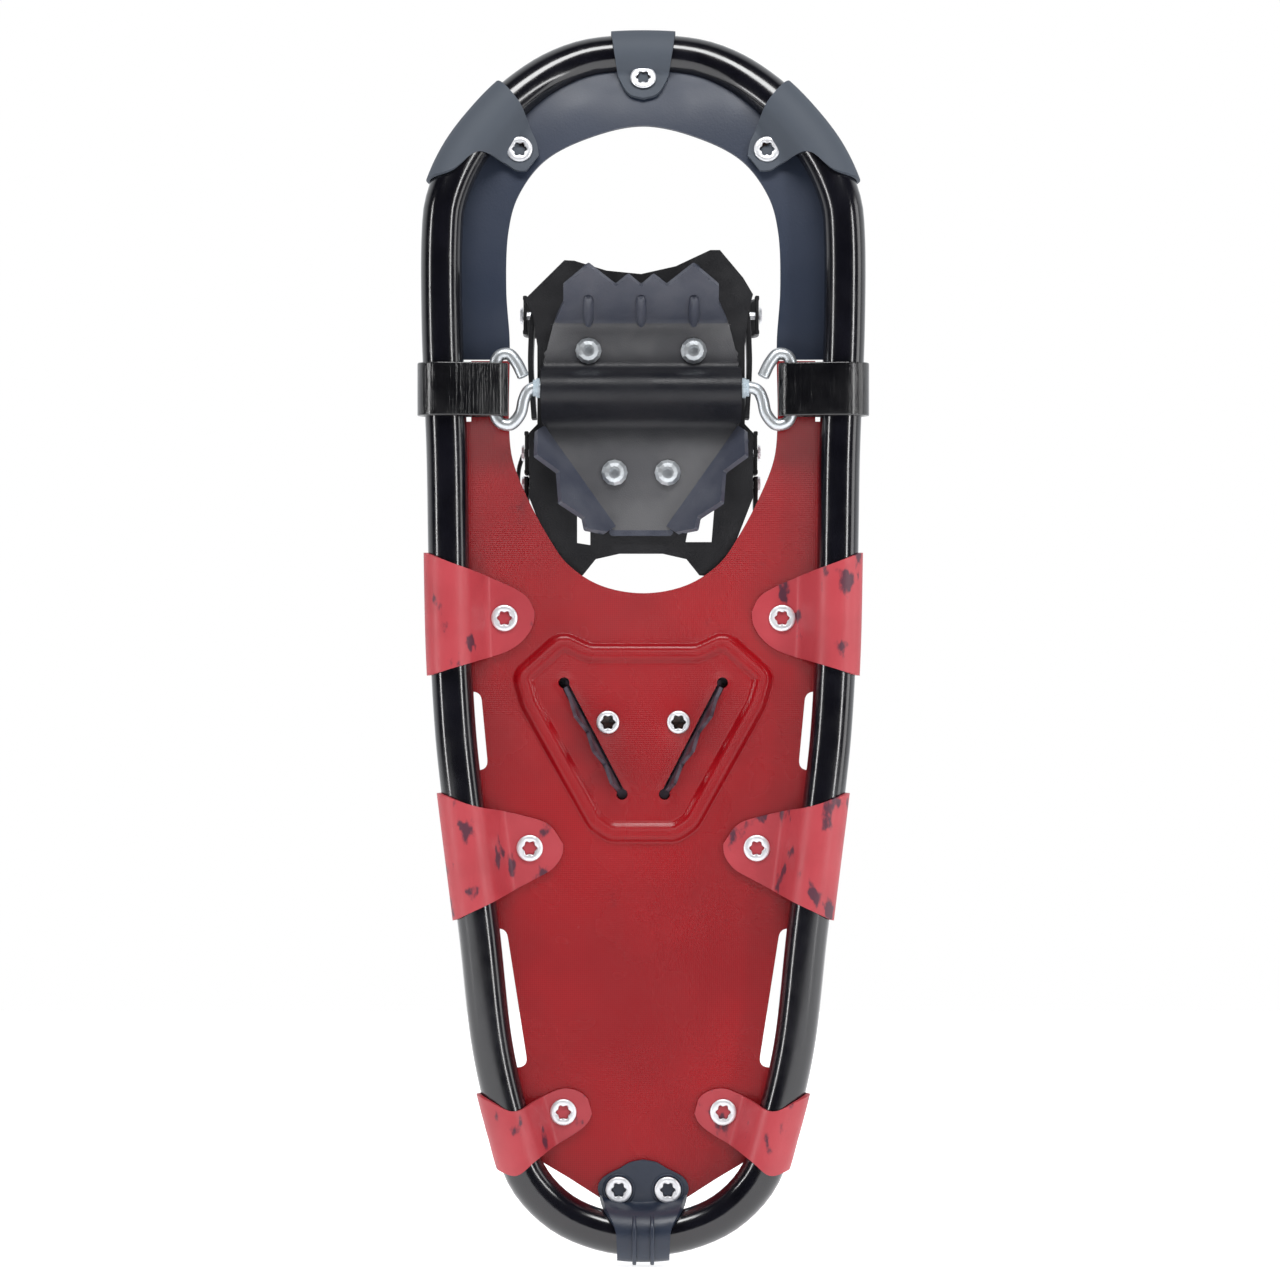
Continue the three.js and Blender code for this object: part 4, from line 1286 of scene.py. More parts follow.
class MainDeck:
    """Red coated deck with an embossed shield where the heel crampon comes through."""

    def __init__(self, sizes: DeckSizes, rivets: RivetPlan, line: FrameLine, row: Row) -> None:
        """Works out the outlines.

        Args:
            sizes: the deck's sizes.
            rivets: the rivets' places.
            line: the tube's middle line.
            row: the row frame.
        """
        self.sizes, self.rivets, self.line, self.row = sizes, rivets, line, row
        radii = [*sizes.shield_radii, *reversed(sizes.shield_radii)]
        self.shield = rounded([*sizes.shield, *mirrored(sizes.shield)], radii, 8)

    def _outside(self) -> list[Pair]:
        """Returns: the outer edge of the right side, going down behind the tube and round the slots."""
        s = self.sizes
        edge = []
        top = s.notch[1]
        for slot in (s.upper_slot, s.lower_slot):
            edge += self.line.side_edge(top, slot[0][1], 30)
            edge += rounded(slot, [0, s.slot_radius, s.slot_radius, 0])[1:-1]
            top = slot[-1][1]
        return edge + self.line.side_edge(top, 54, 20)

    def _slit(self, side: Side) -> list[Pair]:
        """Lists the outline of the slit for a heel blade.

        Args:
            side: side of the shoe.

        Returns: a closed outline with round ends.
        """
        sizes = self.sizes
        outer, inner = Vector(sizes.slit_outer), Vector(sizes.slit_inner)
        along = (inner - outer).normalized()
        aside = Vector((-along.y, along.x))
        half, end = sizes.slit_width / 2, sizes.slit_end
        opening = math.asin(half / end)
        outline = []
        for middle, way in ((outer, -1), (inner, 1)):
            for k in range(19):
                angle = -(math.pi - opening) + 2 * (math.pi - opening) * k / 18
                spot = middle + along * way * end * math.cos(angle) + aside * way * end * math.sin(angle)
                outline.append((spot.x, spot.y))
        return on_side(outline, side)

    def _loops(self) -> list[list[Pair]]:
        """Returns: the deck's outline and all its holes."""
        s, r = self.sizes, self.rivets
        opening = [(p.x, p.y) for p in smooth_line([*mirrored(s.opening)[::-1], *s.opening[-2::-1]], 8)]
        half = [(s.notch[0], s.join), s.notch, *self._outside(), *s.tail]
        outline = [*half, *mirrored(half), *opening]
        loops = [resampled(outline, 2.4)]
        for side in Side:
            loops.append(resampled(self._slit(side), 1.2))
            loops += [ring_at(on_side([spot], side)[0], 3.8) for spot in (*r.deck, r.heel, r.tail)]
        return loops

    def relief(self, flat: np.ndarray) -> np.ndarray:
        """Works out how far each point of the face stands out toward the sole.

        Args:
            flat: the points, one row each.

        Returns: the heights.
        """
        s, r = self.sizes, self.rivets

        def step(value: np.ndarray, low: float, high: float) -> np.ndarray:
            """Returns: values that rise smoothly from 0 to 1 between two limits."""
            share = np.clip((value - low) / (high - low), 0, 1)
            return share * share * (3 - 2 * share)

        depth = np.where(inside(flat, [self.shield]), 1, -1) * distance_to(flat, self.shield)
        height = s.rise * step(depth, -0.6, 2.2) - s.sink * step(depth, s.rim - 1.4, s.rim + 1.6)
        x, z = flat.T
        for side in Side:
            heel = on_side([r.heel], side)[0]
            away = np.hypot(x - heel[0], z - heel[1])
            height -= 0.6 * np.exp(-((away / 8) ** 2))
            lips = distance_to(flat, resampled(self._slit(side), 3))
            height += 0.35 * np.exp(-((lips / 1.6) ** 2)) * step(depth, 4, 8)
        for spot in r.deck:
            away = np.hypot(np.abs(x) - spot[0], z - spot[1])
            height -= 0.25 * np.exp(-((away / 11) ** 2))
        swell = 0.16 * np.sin(x / 23 + 0.6) * np.sin(z / 37 + 1.1) + 0.1 * np.sin(x / 11 - z / 29)
        return height + swell * step(-np.abs(depth), -14, -3)

    def build(self) -> bpy.types.Object:
        """Cuts, embosses and thickens the deck.

        Returns: the deck.
        """
        s = self.sizes

        def bend(flat: np.ndarray) -> np.ndarray:
            """Returns: the flat points with their relief toward the sole."""
            level = s.face + s.thickness / 2 - self.relief(flat)
            return np.column_stack([flat[:, 0], level, flat[:, 1]])

        zone = [(-66, 188), (66, 188), (66, 295), (-66, 295)]
        sheet = Sheet(self._loops(), 3.2, bend, s.thickness - 0.1, finer=[(zone, 1.1)])
        deck = bevelled(sheet.build("red_deck", self.row, RED_DECK), 0.35, 2, 60)
        return keep(deck, Body.FRAME, "red_deck", "main_deck")


@dataclass(frozen=True)
class ToeDeckSizes:
    """Inner edge of the toe deck on the right side, and its middle as height and level."""

    thickness: float = 2.0
    edge: tuple[Pair, ...] = (
        (61.7, 415.6), (61.8, 426), (63.3, 448), (62.3, 475),
        (58, 491), (45.8, 507.8), (25, 518.9), (0, 524.4),
    )
    levels: tuple[Pair, ...] = (
        (415.6, 10.8), (440, 10.8), (455, 10.9), (484.5, 12.1),
        (509.4, 14.9), (532.2, 19.7), (547.1, 26.6), (558, 33),
    )
    clear: float = 0.4


class ToeDeck:
    """Slate crescent that curls up into the toe of the tube."""

    def __init__(self, sizes: ToeDeckSizes, rivets: RivetPlan, line: FrameLine, row: Row) -> None:
        """Smooths the sheet's profile.

        Args:
            sizes: the deck's sizes.
            rivets: the rivets' places.
            line: the tube's middle line.
            row: the row frame.
        """
        self.sizes, self.rivets, self.line, self.row = sizes, rivets, line, row
        self.profile = [(p.x, p.y) for p in smooth_line(sizes.levels, 12)]

    def level(self, height: float) -> tuple[float, float]:
        """Reads the sheet's middle.

        Args:
            height: the height.

        Returns: the level and the lean of the sheet in radians.
        """
        low, high = lookup(self.profile, height - 1.5), lookup(self.profile, height + 1.5)
        return lookup(self.profile, height), math.atan2(high - low, 3.0)

    def _outside(self) -> list[Pair]:
        """Returns: the outer edge on the right side, going up to the toe."""
        line, sizes = self.line, self.sizes
        first, last = line.way_at(sizes.edge[0][1]), line.length / 2
        clear = line.size.radius + sizes.clear
        edge = []
        count = 110
        for i in range(count + 1):
            way = first + (last - first) * i / count
            inward = 0.0
            for _ in range(8):
                spot = line.place(way, 0, inward)
                middle = line.place(way, 0, 0)
                level, lean = self.level(spot.z)
                angle = max(middle.z - line.size.bend_start, 0) / line.size.bend_radius
                away = (level - spot.y) * math.cos(min(angle, 0.6))
                inward = math.sqrt(max(clear**2 - away**2, 0))
            edge.append((-spot.x, spot.z))
        return edge

    def build(self) -> bpy.types.Object:
        """Cuts, bends and thickens the deck.

        Returns: the deck.
        """
        edge = self.sizes.edge
        inner = [(p.x, p.y) for p in smooth_line([*mirrored(edge)[::-1], *edge[-2::-1]], 10)]
        outside = self._outside()
        outline = [*inner, *outside[:-1], (0.0, outside[-1][1]), *mirrored(outside[:-1])]
        loops = [resampled(outline, 2.2)]
        for spot in (self.rivets.toe, self.rivets.toe_middle, (-self.rivets.toe[0], self.rivets.toe[1])):
            loops.append(ring_at(spot, 3.8))
        sheet = Sheet(loops, 3.0, bent_by(self.profile), self.sizes.thickness)
        deck = bevelled(sheet.build("slate_toe_deck", self.row, TOE_DECK), 0.4, 2, 60)
        return keep(deck, Body.FRAME, "toe_deck", "toe_deck")


# ---- straps and rivets of the frame -----------------------------------------------------------


class FrameStraps:
    """All folded straps of the frame, and the clip at the tail."""

    def __init__(self, sizes: WrapSizes, line: FrameLine, row: Row) -> None:
        """Keeps the sizes.

        Args:
            sizes: the straps' sizes.
            line: the tube's middle line.
            row: the row frame.
        """
        self.sizes, self.line, self.row = sizes, line, row

    def build(self) -> None:
        """Builds the six red straps, the three slate ones and the clip."""
        s = self.sizes
        for side in Side:
            for i, shape in enumerate(s.deck, 1):
                node = f"deck_wrap_{side.word}_{i}"
                strap = FoldedStrap(self.line, self.row, s.deck_fold, shape)
                made = strap.build(f"red_strap_{side.word}_{i}", side, RED_WRAP)
                keep(made, Body.FRAME, "red_wrap", node)
            strap = FoldedStrap(self.line, self.row, s.toe_fold, s.toe_side)
            made = strap.build(f"toe_strap_fold_{side.word}", side, SLATE)
            keep(made, Body.FRAME, "slate", f"toe_wrap_{side.word}")
        strap = FoldedStrap(self.line, self.row, s.toe_middle_fold, s.toe_middle, self.line.length / 2)
        made = strap.build("toe_strap_fold_center", Side.LEFT, SLATE)
        keep(made, Body.FRAME, "slate", "toe_wrap_center")
        self._clip()

    def _clip(self) -> None:
        """Builds the moulded clip at the tail with its ribs and rings."""
        s = self.sizes
        strap = FoldedStrap(self.line, self.row, s.clip_fold, s.clip)
        clip = strap.build("moulded_tail_clip", Side.LEFT, CLIP, across=26)
        keep(clip, Body.FRAME, "slate", "tail_clip")
        path = [(sole, inward) for sole, inward in strap.profile() if sole > -3 and inward < 8.4]
        section = rounded_box(1.9, 1.6, 0.75)
        for side in Side:
            spine = []
            for k, (sole, inward) in enumerate(path):
                lift = 1.0 + (s.clip_fold.thickness / 2 - 0.35) * min(1, k / 2, (len(path) - 1 - k) / 4)
                scale = 1 + lift / math.hypot(sole, inward)
                point, toward = self.line.at(0)
                spot = point + toward * inward * scale
                spine.append(self.row.put(side.value * 4.1, -sole * scale, spot.y))
            rib = mesh_object(f"clip_rib_{side.word}", *sweep(spine, section, Vector((1, 0, 0))), CLIP)
            keep(rib, Body.FRAME, "slate")
            x, z = RivetPlan().tail
            face = s.clip_fold.front - s.clip_fold.thickness / 2
            middle = self.row.put(side.value * x, face, z)
            ring = turned(f"clip_ring_{side.word}", s.clip_ring, middle, CLIP, closed=True)
            keep(ring, Body.FRAME, "slate")


def rounded_box(width: float, height: float, radius: float, steps: int = 3) -> list[Pair]:
    """Lists the corners of a rounded rectangle about the origin.

    Args:
        width: its first size.
        height: its second size.
        radius: rounding of its corners.
        steps: straight pieces in each corner.

    Returns: the corners.
    """
    a, b = width / 2, height / 2
    return rounded([(-a, -b), (a, -b), (a, b), (-a, b)], radius, steps)


def sweep(spine: Sequence[Vector], section: Sequence[Pair], wide: Vector, closed: bool = False) -> Loft:
    """Sweeps a section along a line.

    Args:
        spine: the line's points, in metres.
        section: the section in millimetres, first size along the wide direction.
        wide: direction of the section's first size.
        closed: whether the line joins its own start.

    Returns: the points and the faces.
    """
    rings = []
    count = len(spine)
    for i, point in enumerate(spine):
        before = spine[i - 1] if closed or i else point
        after = spine[(i + 1) % count] if closed or i < count - 1 else point
        along = (after - before).normalized()
        aside = (wide - along * wide.dot(along)).normalized()
        up = along.cross(aside)
        rings.append([point + (aside * a + up * b) / 1000 for a, b in section])
    return loft(rings, closed)


def swept_round(spine: Sequence[Vector], radius: float, sides: int = 20, chamfer: float = 0.4) -> Loft:
    """Sweeps a round rod without twist along a line, with softened ends.

    Args:
        spine: the line's points, in metres.
        radius: the rod's radius in millimetres.
        sides: corners of its section.
        chamfer: softening of its ends in millimetres.

    Returns: the points and the faces.
    """
    first, last = (spine[1] - spine[0]).normalized(), (spine[-1] - spine[-2]).normalized()
    near_start, near_end = spine[0] + first * chamfer / 1000, spine[-1] - last * chamfer / 1000
    spine = [spine[0], near_start, *spine[1:-1], near_end, spine[-1]]
    aside = Vector((0, 1, 0))
    rings = []
    for i, point in enumerate(spine):
        along = (spine[min(i + 1, len(spine) - 1)] - spine[max(i - 1, 0)]).normalized()
        aside = (aside - along * aside.dot(along)).normalized()
        up = along.cross(aside)
        r = radius - (chamfer if i in (0, len(spine) - 1) else 0)
        rings.append([point + (aside * a + up * b) / 1000 for a, b in circle(r, sides)])
    return loft(rings)


def turned(
    name: str, profile: Sequence[Pair], middle: Vector, finish: Finish, tilt: float = 0.0, sides: int = 48,
    closed: bool = False, lobes: Callable[[int, float], float] | None = None,
) -> bpy.types.Object:
    """Turns a profile about an axis that points to the sole.

    Args:
        name: the piece's name.
        profile: pairs of radius and height toward the sole, in millimetres.
        middle: the axis's foot, in metres.
        finish: its finish.
        tilt: lean of the axis toward the toe, in radians.
        sides: steps round the axis.
        closed: whether the profile joins its own start.
        lobes: factor on a profile point's radius at an angle, if it isn't round.

    Returns: the piece.
    """
    count = len(profile)
    verts = []
    for i in range(sides):
        angle = math.tau * i / sides
        for k, (radius, height) in enumerate(profile):
            reach = radius * (lobes(k, angle) if lobes else 1)
            x, z = reach * math.cos(angle), reach * math.sin(angle)
            out = Vector((0, -math.cos(tilt), math.sin(tilt)))
            up = Vector((0, math.sin(tilt), math.cos(tilt)))
            verts.append(middle + (out * height + up * z + Vector((x, 0, 0))) / 1000)
    spans = count if closed else count - 1
    faces = []
    for i in range(sides):
        here, there = i * count, (i + 1) % sides * count
        for k in range(spans):
            after = (k + 1) % count
            faces.append((here + k, here + after, there + after, there + k))
    made = mesh_object(name, verts, faces, finish, crease=50)
    mesh = bmesh.new()
    mesh.from_mesh(made.data)
    bmesh.ops.remove_doubles(mesh, verts=mesh.verts, dist=1e-6)
    bmesh.ops.recalc_face_normals(mesh, faces=mesh.faces)
    mesh.to_mesh(made.data)
    mesh.free()
    made.data.shade_smooth()
    made.data.set_sharp_from_angle(angle=math.radians(50))
    return made


@dataclass(frozen=True)
class RodSizes:
    """Axle rod with hooked ends and the cord loops that carry it, in millimetres."""

    radius: float = 2.8
    height: float = 402.0
    hook: tuple[tuple[float, float, float], ...] = (
        (24, 0, 0), (40, 0, 0), (50.4, 0, 0), (53.1, 0, -1.6),
        (54.9, 0, -5.4), (56.6, 0, -12), (61.2, 0, -16.9),
        (66, 0, -15.8), (68.3, 0, -11.5), (68.6, 0, -5), (68.6, 0, 4), (68.3, 0, 10.5), (66.2, 0, 14.8),
        (62, -0.4, 15.6), (58.4, -1, 11.8), (55, -1.8, 5),
    )
    bar: float = 68.2
    band: float = 2.2
    bottom: float = 389.0
    width: float = 24.5


class Suspension:
    """Axle rod and the two black loops that hang it in the frame."""

    def __init__(self, sizes: RodSizes, line: FrameLine, row: Row) -> None:
        """Keeps the sizes.

        Args:
            sizes: the rod's and loops' sizes.
            line: the tube's middle line.
            row: the row frame.
        """
        self.sizes, self.line, self.row = sizes, line, row

    def build(self) -> None:
        """Builds the rod and both loops."""
        s = self.sizes
        points = [(-x, y, z) for x, y, z in reversed(s.hook)] + list(s.hook)
        spine = [self.row.put(p.x, p.y, p.z + s.height) for p in smooth_line(points, 10)]
        rod = mesh_object("hooked_rod", *swept_round(spine, s.radius), ZINC)
        keep(rod, Body.FRAME, "zinc", "axle_rod")
        for side in Side:
            self._loop(side)

    def _loop(self, side: Side) -> None:
        """Builds the band round the tube and the hook's outer leg.

        Args:
            side: side of the shoe.
        """
        s = self.sizes
        tube = abs(self.line.at(self.line.way_at(s.height))[0].x)
        outer = self.line.size.radius + 0.75 + s.band / 2
        inner = s.radius + 1 + s.band / 2
        lean = math.asin((outer - inner) / (tube - s.bar))
        route = []
        for middle, radius, start, end, count in (
            (tube, outer, -math.pi / 2 - lean, math.pi / 2 + lean, 40),
            (s.bar, inner, math.pi / 2 + lean, 3 * math.pi / 2 - lean, 24),
        ):
            for i in range(count + 1):
                angle = start + (end - start) * i / count
                route.append((middle + radius * math.cos(angle), radius * math.sin(angle)))
        level = s.bottom + s.width / 2
        spine = [self.row.put(x * side.value, y, level) for x, y in route]
        section = rounded_box(s.width, s.band, 0.7)
        swept = sweep(spine, section, Vector((0, 0, 1)), True)
        band = mesh_object(f"black_loop_{side.word}", *swept, CORD, crease=50)
        keep(band, Body.FRAME, "cord", f"toe_cord_{side.word}")


class Rivets:
    """All tubular rivets of the frame."""

    def __init__(self, plan: RivetPlan, toe: ToeDeck, row: Row) -> None:
        """Keeps the places.

        Args:
            plan: the rivets' places.
            toe: the toe deck, which tilts its own rivets.
            row: the row frame.
        """
        self.plan, self.toe, self.row = plan, toe, row

    def _one(
        self, node: str, spot: Pair, face: float, grip: float, ring: float = 6.1, tilt: float = 0.0,
    ) -> None:
        """Builds a rivet.

        Args:
            node: the CAD node it stands for.
            spot: its place as seen from the sole.
            face: level of the face under its ring.
            grip: thickness it holds together.
            ring: outer radius of its ring.
            tilt: lean of its axis toward the toe.
        """
        bore, rise = 3.1, 1.2
        shape = [
            (0, -grip - 1.2), (3.4, -grip - 1.18), (4.7, -grip - 0.95),
            (5.2, -grip - 0.5), (5.1, -grip - 0.2),
            (3.6, -grip - 0.2), (3.6, 0.1), (ring - 0.2, 0.1), (ring, 0.35), (ring - 0.08, 0.65),
            (ring - 0.35, rise - 0.2), (ring - 1.2, rise),
            (bore + 0.7, rise - 0.06), (bore + 0.25, rise - 0.25),
            (bore + 0.05, 0.4), (bore - 0.1, -0.9), (bore * 0.5, -1.2), (0, -1.3),
        ]
        hollow = len(shape) - 5

        def star(k: int, angle: float) -> float:
            """Returns: the factor that gives the hollow's points six lobes."""
            return 1 + (0.12 * math.cos(6 * angle) - 0.03 if k >= hollow else 0)

        foot = self.row.put(spot[0], face, spot[1])
        made = turned(f"tubular_{node}", shape, foot, BRIGHT, tilt, 48, False, star)
        # Faces inside the bore get the near-black finish: painted shade.
        made.data.materials.append(RIVET_BORE_PAINTED_SHADE.material())
        axis = Vector((0, -math.cos(tilt), math.sin(tilt)))
        for polygon in made.data.polygons:
            away = polygon.center - foot
            out = away.dot(axis)
            if (away - axis * out).length < (bore + 0.3) / 1000 and -0.002 < out < 0.0006:
                polygon.material_index = 1
        keep(made, Body.FRAME, "rivet", node)

    def build(self) -> None:
        """Builds the rivets of both decks, the heel shield, the tail clip and the toe."""
        plan = self.plan
        for side in Side:
            for i, spot in enumerate(plan.deck, 1):
                self._one(f"rivet_deck_{side.word}_{i}", on_side([spot], side)[0], plan.wrap_face, 6.2)
            heel, tail, toe = on_side([plan.heel, plan.tail, plan.toe], side)
            self._one(f"rivet_heel_{side.word}", heel, plan.deck_face, 6.0, 5.3)
            self._one(f"rivet_tail_{side.word}", tail, plan.clip_face, 8.3)
            self._toe(side.word, toe)
        self._toe("center", plan.toe_middle)

    def _toe(self, word: str, spot: Pair) -> None:
        """Builds a rivet square to the toe deck.

        Args:
            word: its name.
            spot: its place.
        """
        level, lean = self.toe.level(spot[1])
        half = 3.8
        foot = (spot[0], spot[1] + half * math.sin(lean))
        self._one(f"rivet_toe_{word}", foot, level - half * math.cos(lean), 2 * half, 6.0, lean)


# ---- binding ------------------------------------------------------------------------------------


@dataclass(frozen=True)
class CramponSizes:
    """Formed toe crampon in the binding's own x, in millimetres."""

    middle: float = -1.0
    thickness: float = 2.4
    level: float = 10.6
    bend: tuple[Pair, ...] = (
        (333, 10.6), (350, 10.6), (378, 10.6), (385.2, 10.4),
        (388, 8.8), (390.6, 5.4), (393.8, 0.6), (396.6, -3.4),
        (399.4, -5.1), (402.6, -5.4), (405.4, -4.3), (407.6, -1.2),
        (409.2, 4.2), (410.8, 8.4), (413, 10.2),
        (418, 10.6), (429, 10.6), (431.9, 10.3), (434.5, 8), (440, 2.4), (462.5, -20),
    )
    half: tuple[Pair, ...] = (
        (0, 448.7), (5.8, 453.3), (11.7, 448.9), (24, 457.9),
        (35.7, 448.9), (35.7, 442), (40.6, 431.9), (46.2, 410),
        (46.2, 389), (44.2, 382), (43.3, 381.3), (13.2, 339), (15, 335.6), (13.6, 334.2),
    )
    bolts: tuple[Pair, ...] = ((24.3, 419.7), (12.3, 363.4))
    flange: tuple[Pair, ...] = (
        (-4, -0.8), (-4, 6), (5.7, 19), (17.4, 11.6), (29.9, 25),
        (41.6, 16.5), (46.6, 20.6), (53, 9), (53, -0.8),
    )
    flange_foot: float = 433.0
    lip_top: float = 337.5
    flange_start: Pair = (43.3, 381.3)
    flange_end: Pair = (13.2, 339)
    ribs: tuple[float, ...] = (-24.3, 0, 24.3)
    rib_rings: tuple[Color, ...] = (
        (9.6, 430.6, 0.8), (8.2, 432.8, 2.4), (2.6, 438.4, 2.7), (-3.0, 443.8, 2.5), (-3.6, 444.6, 0.9),
    )


class ToeCrampon:
    """Toothed steel crampon with an axle channel and a folded V behind it."""

    def __init__(self, sizes: CramponSizes, row: Row) -> None:
        """Keeps the sizes.

        Args:
            sizes: the crampon's sizes.
            row: the row frame.
        """
        self.sizes, self.row = sizes, row

    def build(self) -> None:
        """Builds the bent sheet, its ribs and both side flanges."""
        s = self.sizes
        half = rounded([*s.half, *mirrored(s.half)[:-1]], 1.0, 3)
        outline = [(x + s.middle, z) for x, z in half]
        loops = [resampled(outline, 1.8)]
        for side in Side:
            loops += [ring_at((s.middle + side.value * x, z), 3.3) for x, z in s.bolts]
        zone = [(-60, 384), (60, 384), (60, 416), (-60, 416)]
        profile = [(p.x, p.y) for p in smooth_line(s.bend, 8)]
        sheet = Sheet(loops, 3.0, bent_by(profile), s.thickness, finer=[(zone, 1.4)])
        # The plate's grey is painted sheen; only a band round the axle channel keeps the coat's own black.
        plate = bevelled(sheet.build("crampon_plate", self.row, POWDER_PAINTED_SHEEN), 0.45, 3, 55)
        # Faces above the flange foot and below the lip top take the lighter copy of the coat: painted
        # reflection on the toothed flange and the rear lip.
        plate.data.materials.append(CRAMPON_PAINTED_REFLECTION.material())
        top, bottom = self.row.put(0, 0, s.flange_foot).z, self.row.put(0, 0, s.lip_top).z
        for polygon in plate.data.polygons:
            polygon.material_index = int(not bottom < polygon.center.z < top)
        keep(plate, Body.BINDING, "crampon", "toe_crampon")
        for i, x in enumerate(s.ribs):
            rings = []
            for y, z, width in s.rib_rings:
                middle = self.row.put(s.middle + x, y, z)
                across = [Vector((a, -b * 0.7, -b * 0.7)) / 1000 for a, b in circle(width, 14)]
                rings.append([middle + offset for offset in across])
            # Ribs in the lighter copy of the coat: painted reflection.
            rib = mesh_object(f"crampon_rib_{i + 1}", *loft(rings), CRAMPON_PAINTED_REFLECTION, crease=70)
            rib.modifiers.new("round", "SUBSURF").levels = 2
            rib.modifiers["round"].render_levels = 2
            keep(rib, Body.BINDING, "crampon")
        for side in Side:
            self._flange(side)

    def _flange(self, side: Side) -> None:
        """Builds the toothed flange folded down along one side of the V.

        Args:
            side: side of the shoe.
        """
        s = self.sizes
        start, end = (Vector((x, 0, z)) for x, z in (s.flange_start, s.flange_end))
        along = (end - start).normalized()
        outward = Vector((-along.z, 0, along.x)).normalized()
        down = Vector((0, -0.835, 0)) + outward * 0.55

        def bend(flat: np.ndarray) -> np.ndarray:
            """Leans the flange outward from its fold.

            Args:
                flat: points along the fold and down from it, one row each.

            Returns: their places.
            """
            places = []
            for u, v in flat:
                tuck = 0.5 * max(0.0, 3 - v) ** 2 / 9
                point = start + along * u + down * v - outward * tuck
                places.append((s.middle + point.x * side.value, s.level + point.y, point.z))
            return np.array(places)

        outline = resampled(rounded(s.flange, 0.9, 3), 2.0)
        sheet = Sheet([outline], 4.0, bend, s.thickness)
        # Side flange in the lighter copy of the coat: painted reflection.
        flange = sheet.build(f"crampon_flange_{side.word}", self.row, CRAMPON_PAINTED_REFLECTION)
        keep(bevelled(flange, 0.5, 3, 50), Body.BINDING, "crampon")


@dataclass(frozen=True)
class HarnessSizes:
    """Straps and toe wall round the boot, in the binding's own x, in millimetres."""

    middle: float = -1.0
    thickness: float = 2.0
    toe_arch: tuple[float, float, float, float] = (21, 53.9, 58, 72)
    instep_arch: tuple[float, float, float, float] = (19.5, 53.2, 74, 90)
    toe_band: Pair = (428, 446)
    instep_band: Pair = (363, 383)
    heel_band: Pair = (19.5, 37.5)
    heel_half: tuple[Pair, ...] = (
        (53.2, 362), (53.2, 352), (53.2, 326), (53.2, 300), (52, 262), (47, 225), (36, 200), (18, 188),
    )
    heel_end: float = 185.5
    bar_pitch: float = 4.2
    bar: Pair = (0.9, 0.65)
    bar_end: Pair = (0.3, 0.2)
    arch_bars: Pair = (0.2, 0.8)
    heel_bars: Pair = (0.12, 0.3)
    tail_thickness: float = 1.6
    tail: tuple[Pair, ...] = ((-56.4, 373), (-58.4, 366), (-58.4, 356), (-56.8, 346), (-57, 334))
    tail_band: Pair = (39, 54)
    wall: tuple[Pair, ...] = (
        (-49.6, 388), (-51.2, 420), (-48, 443), (-34, 458),
        (-17, 455.4), (0, 453.6), (17, 455.4), (34, 460),
        (47, 445), (50.2, 420), (49, 388),
    )
    wall_band: Pair = (15.5, 40)
    wall_thickness: float = 2.4
    windows: tuple[Pair, ...] = ((-30, -14), (12, 28))
    window_foot: float = 7.0
    window_head: float = 6.0


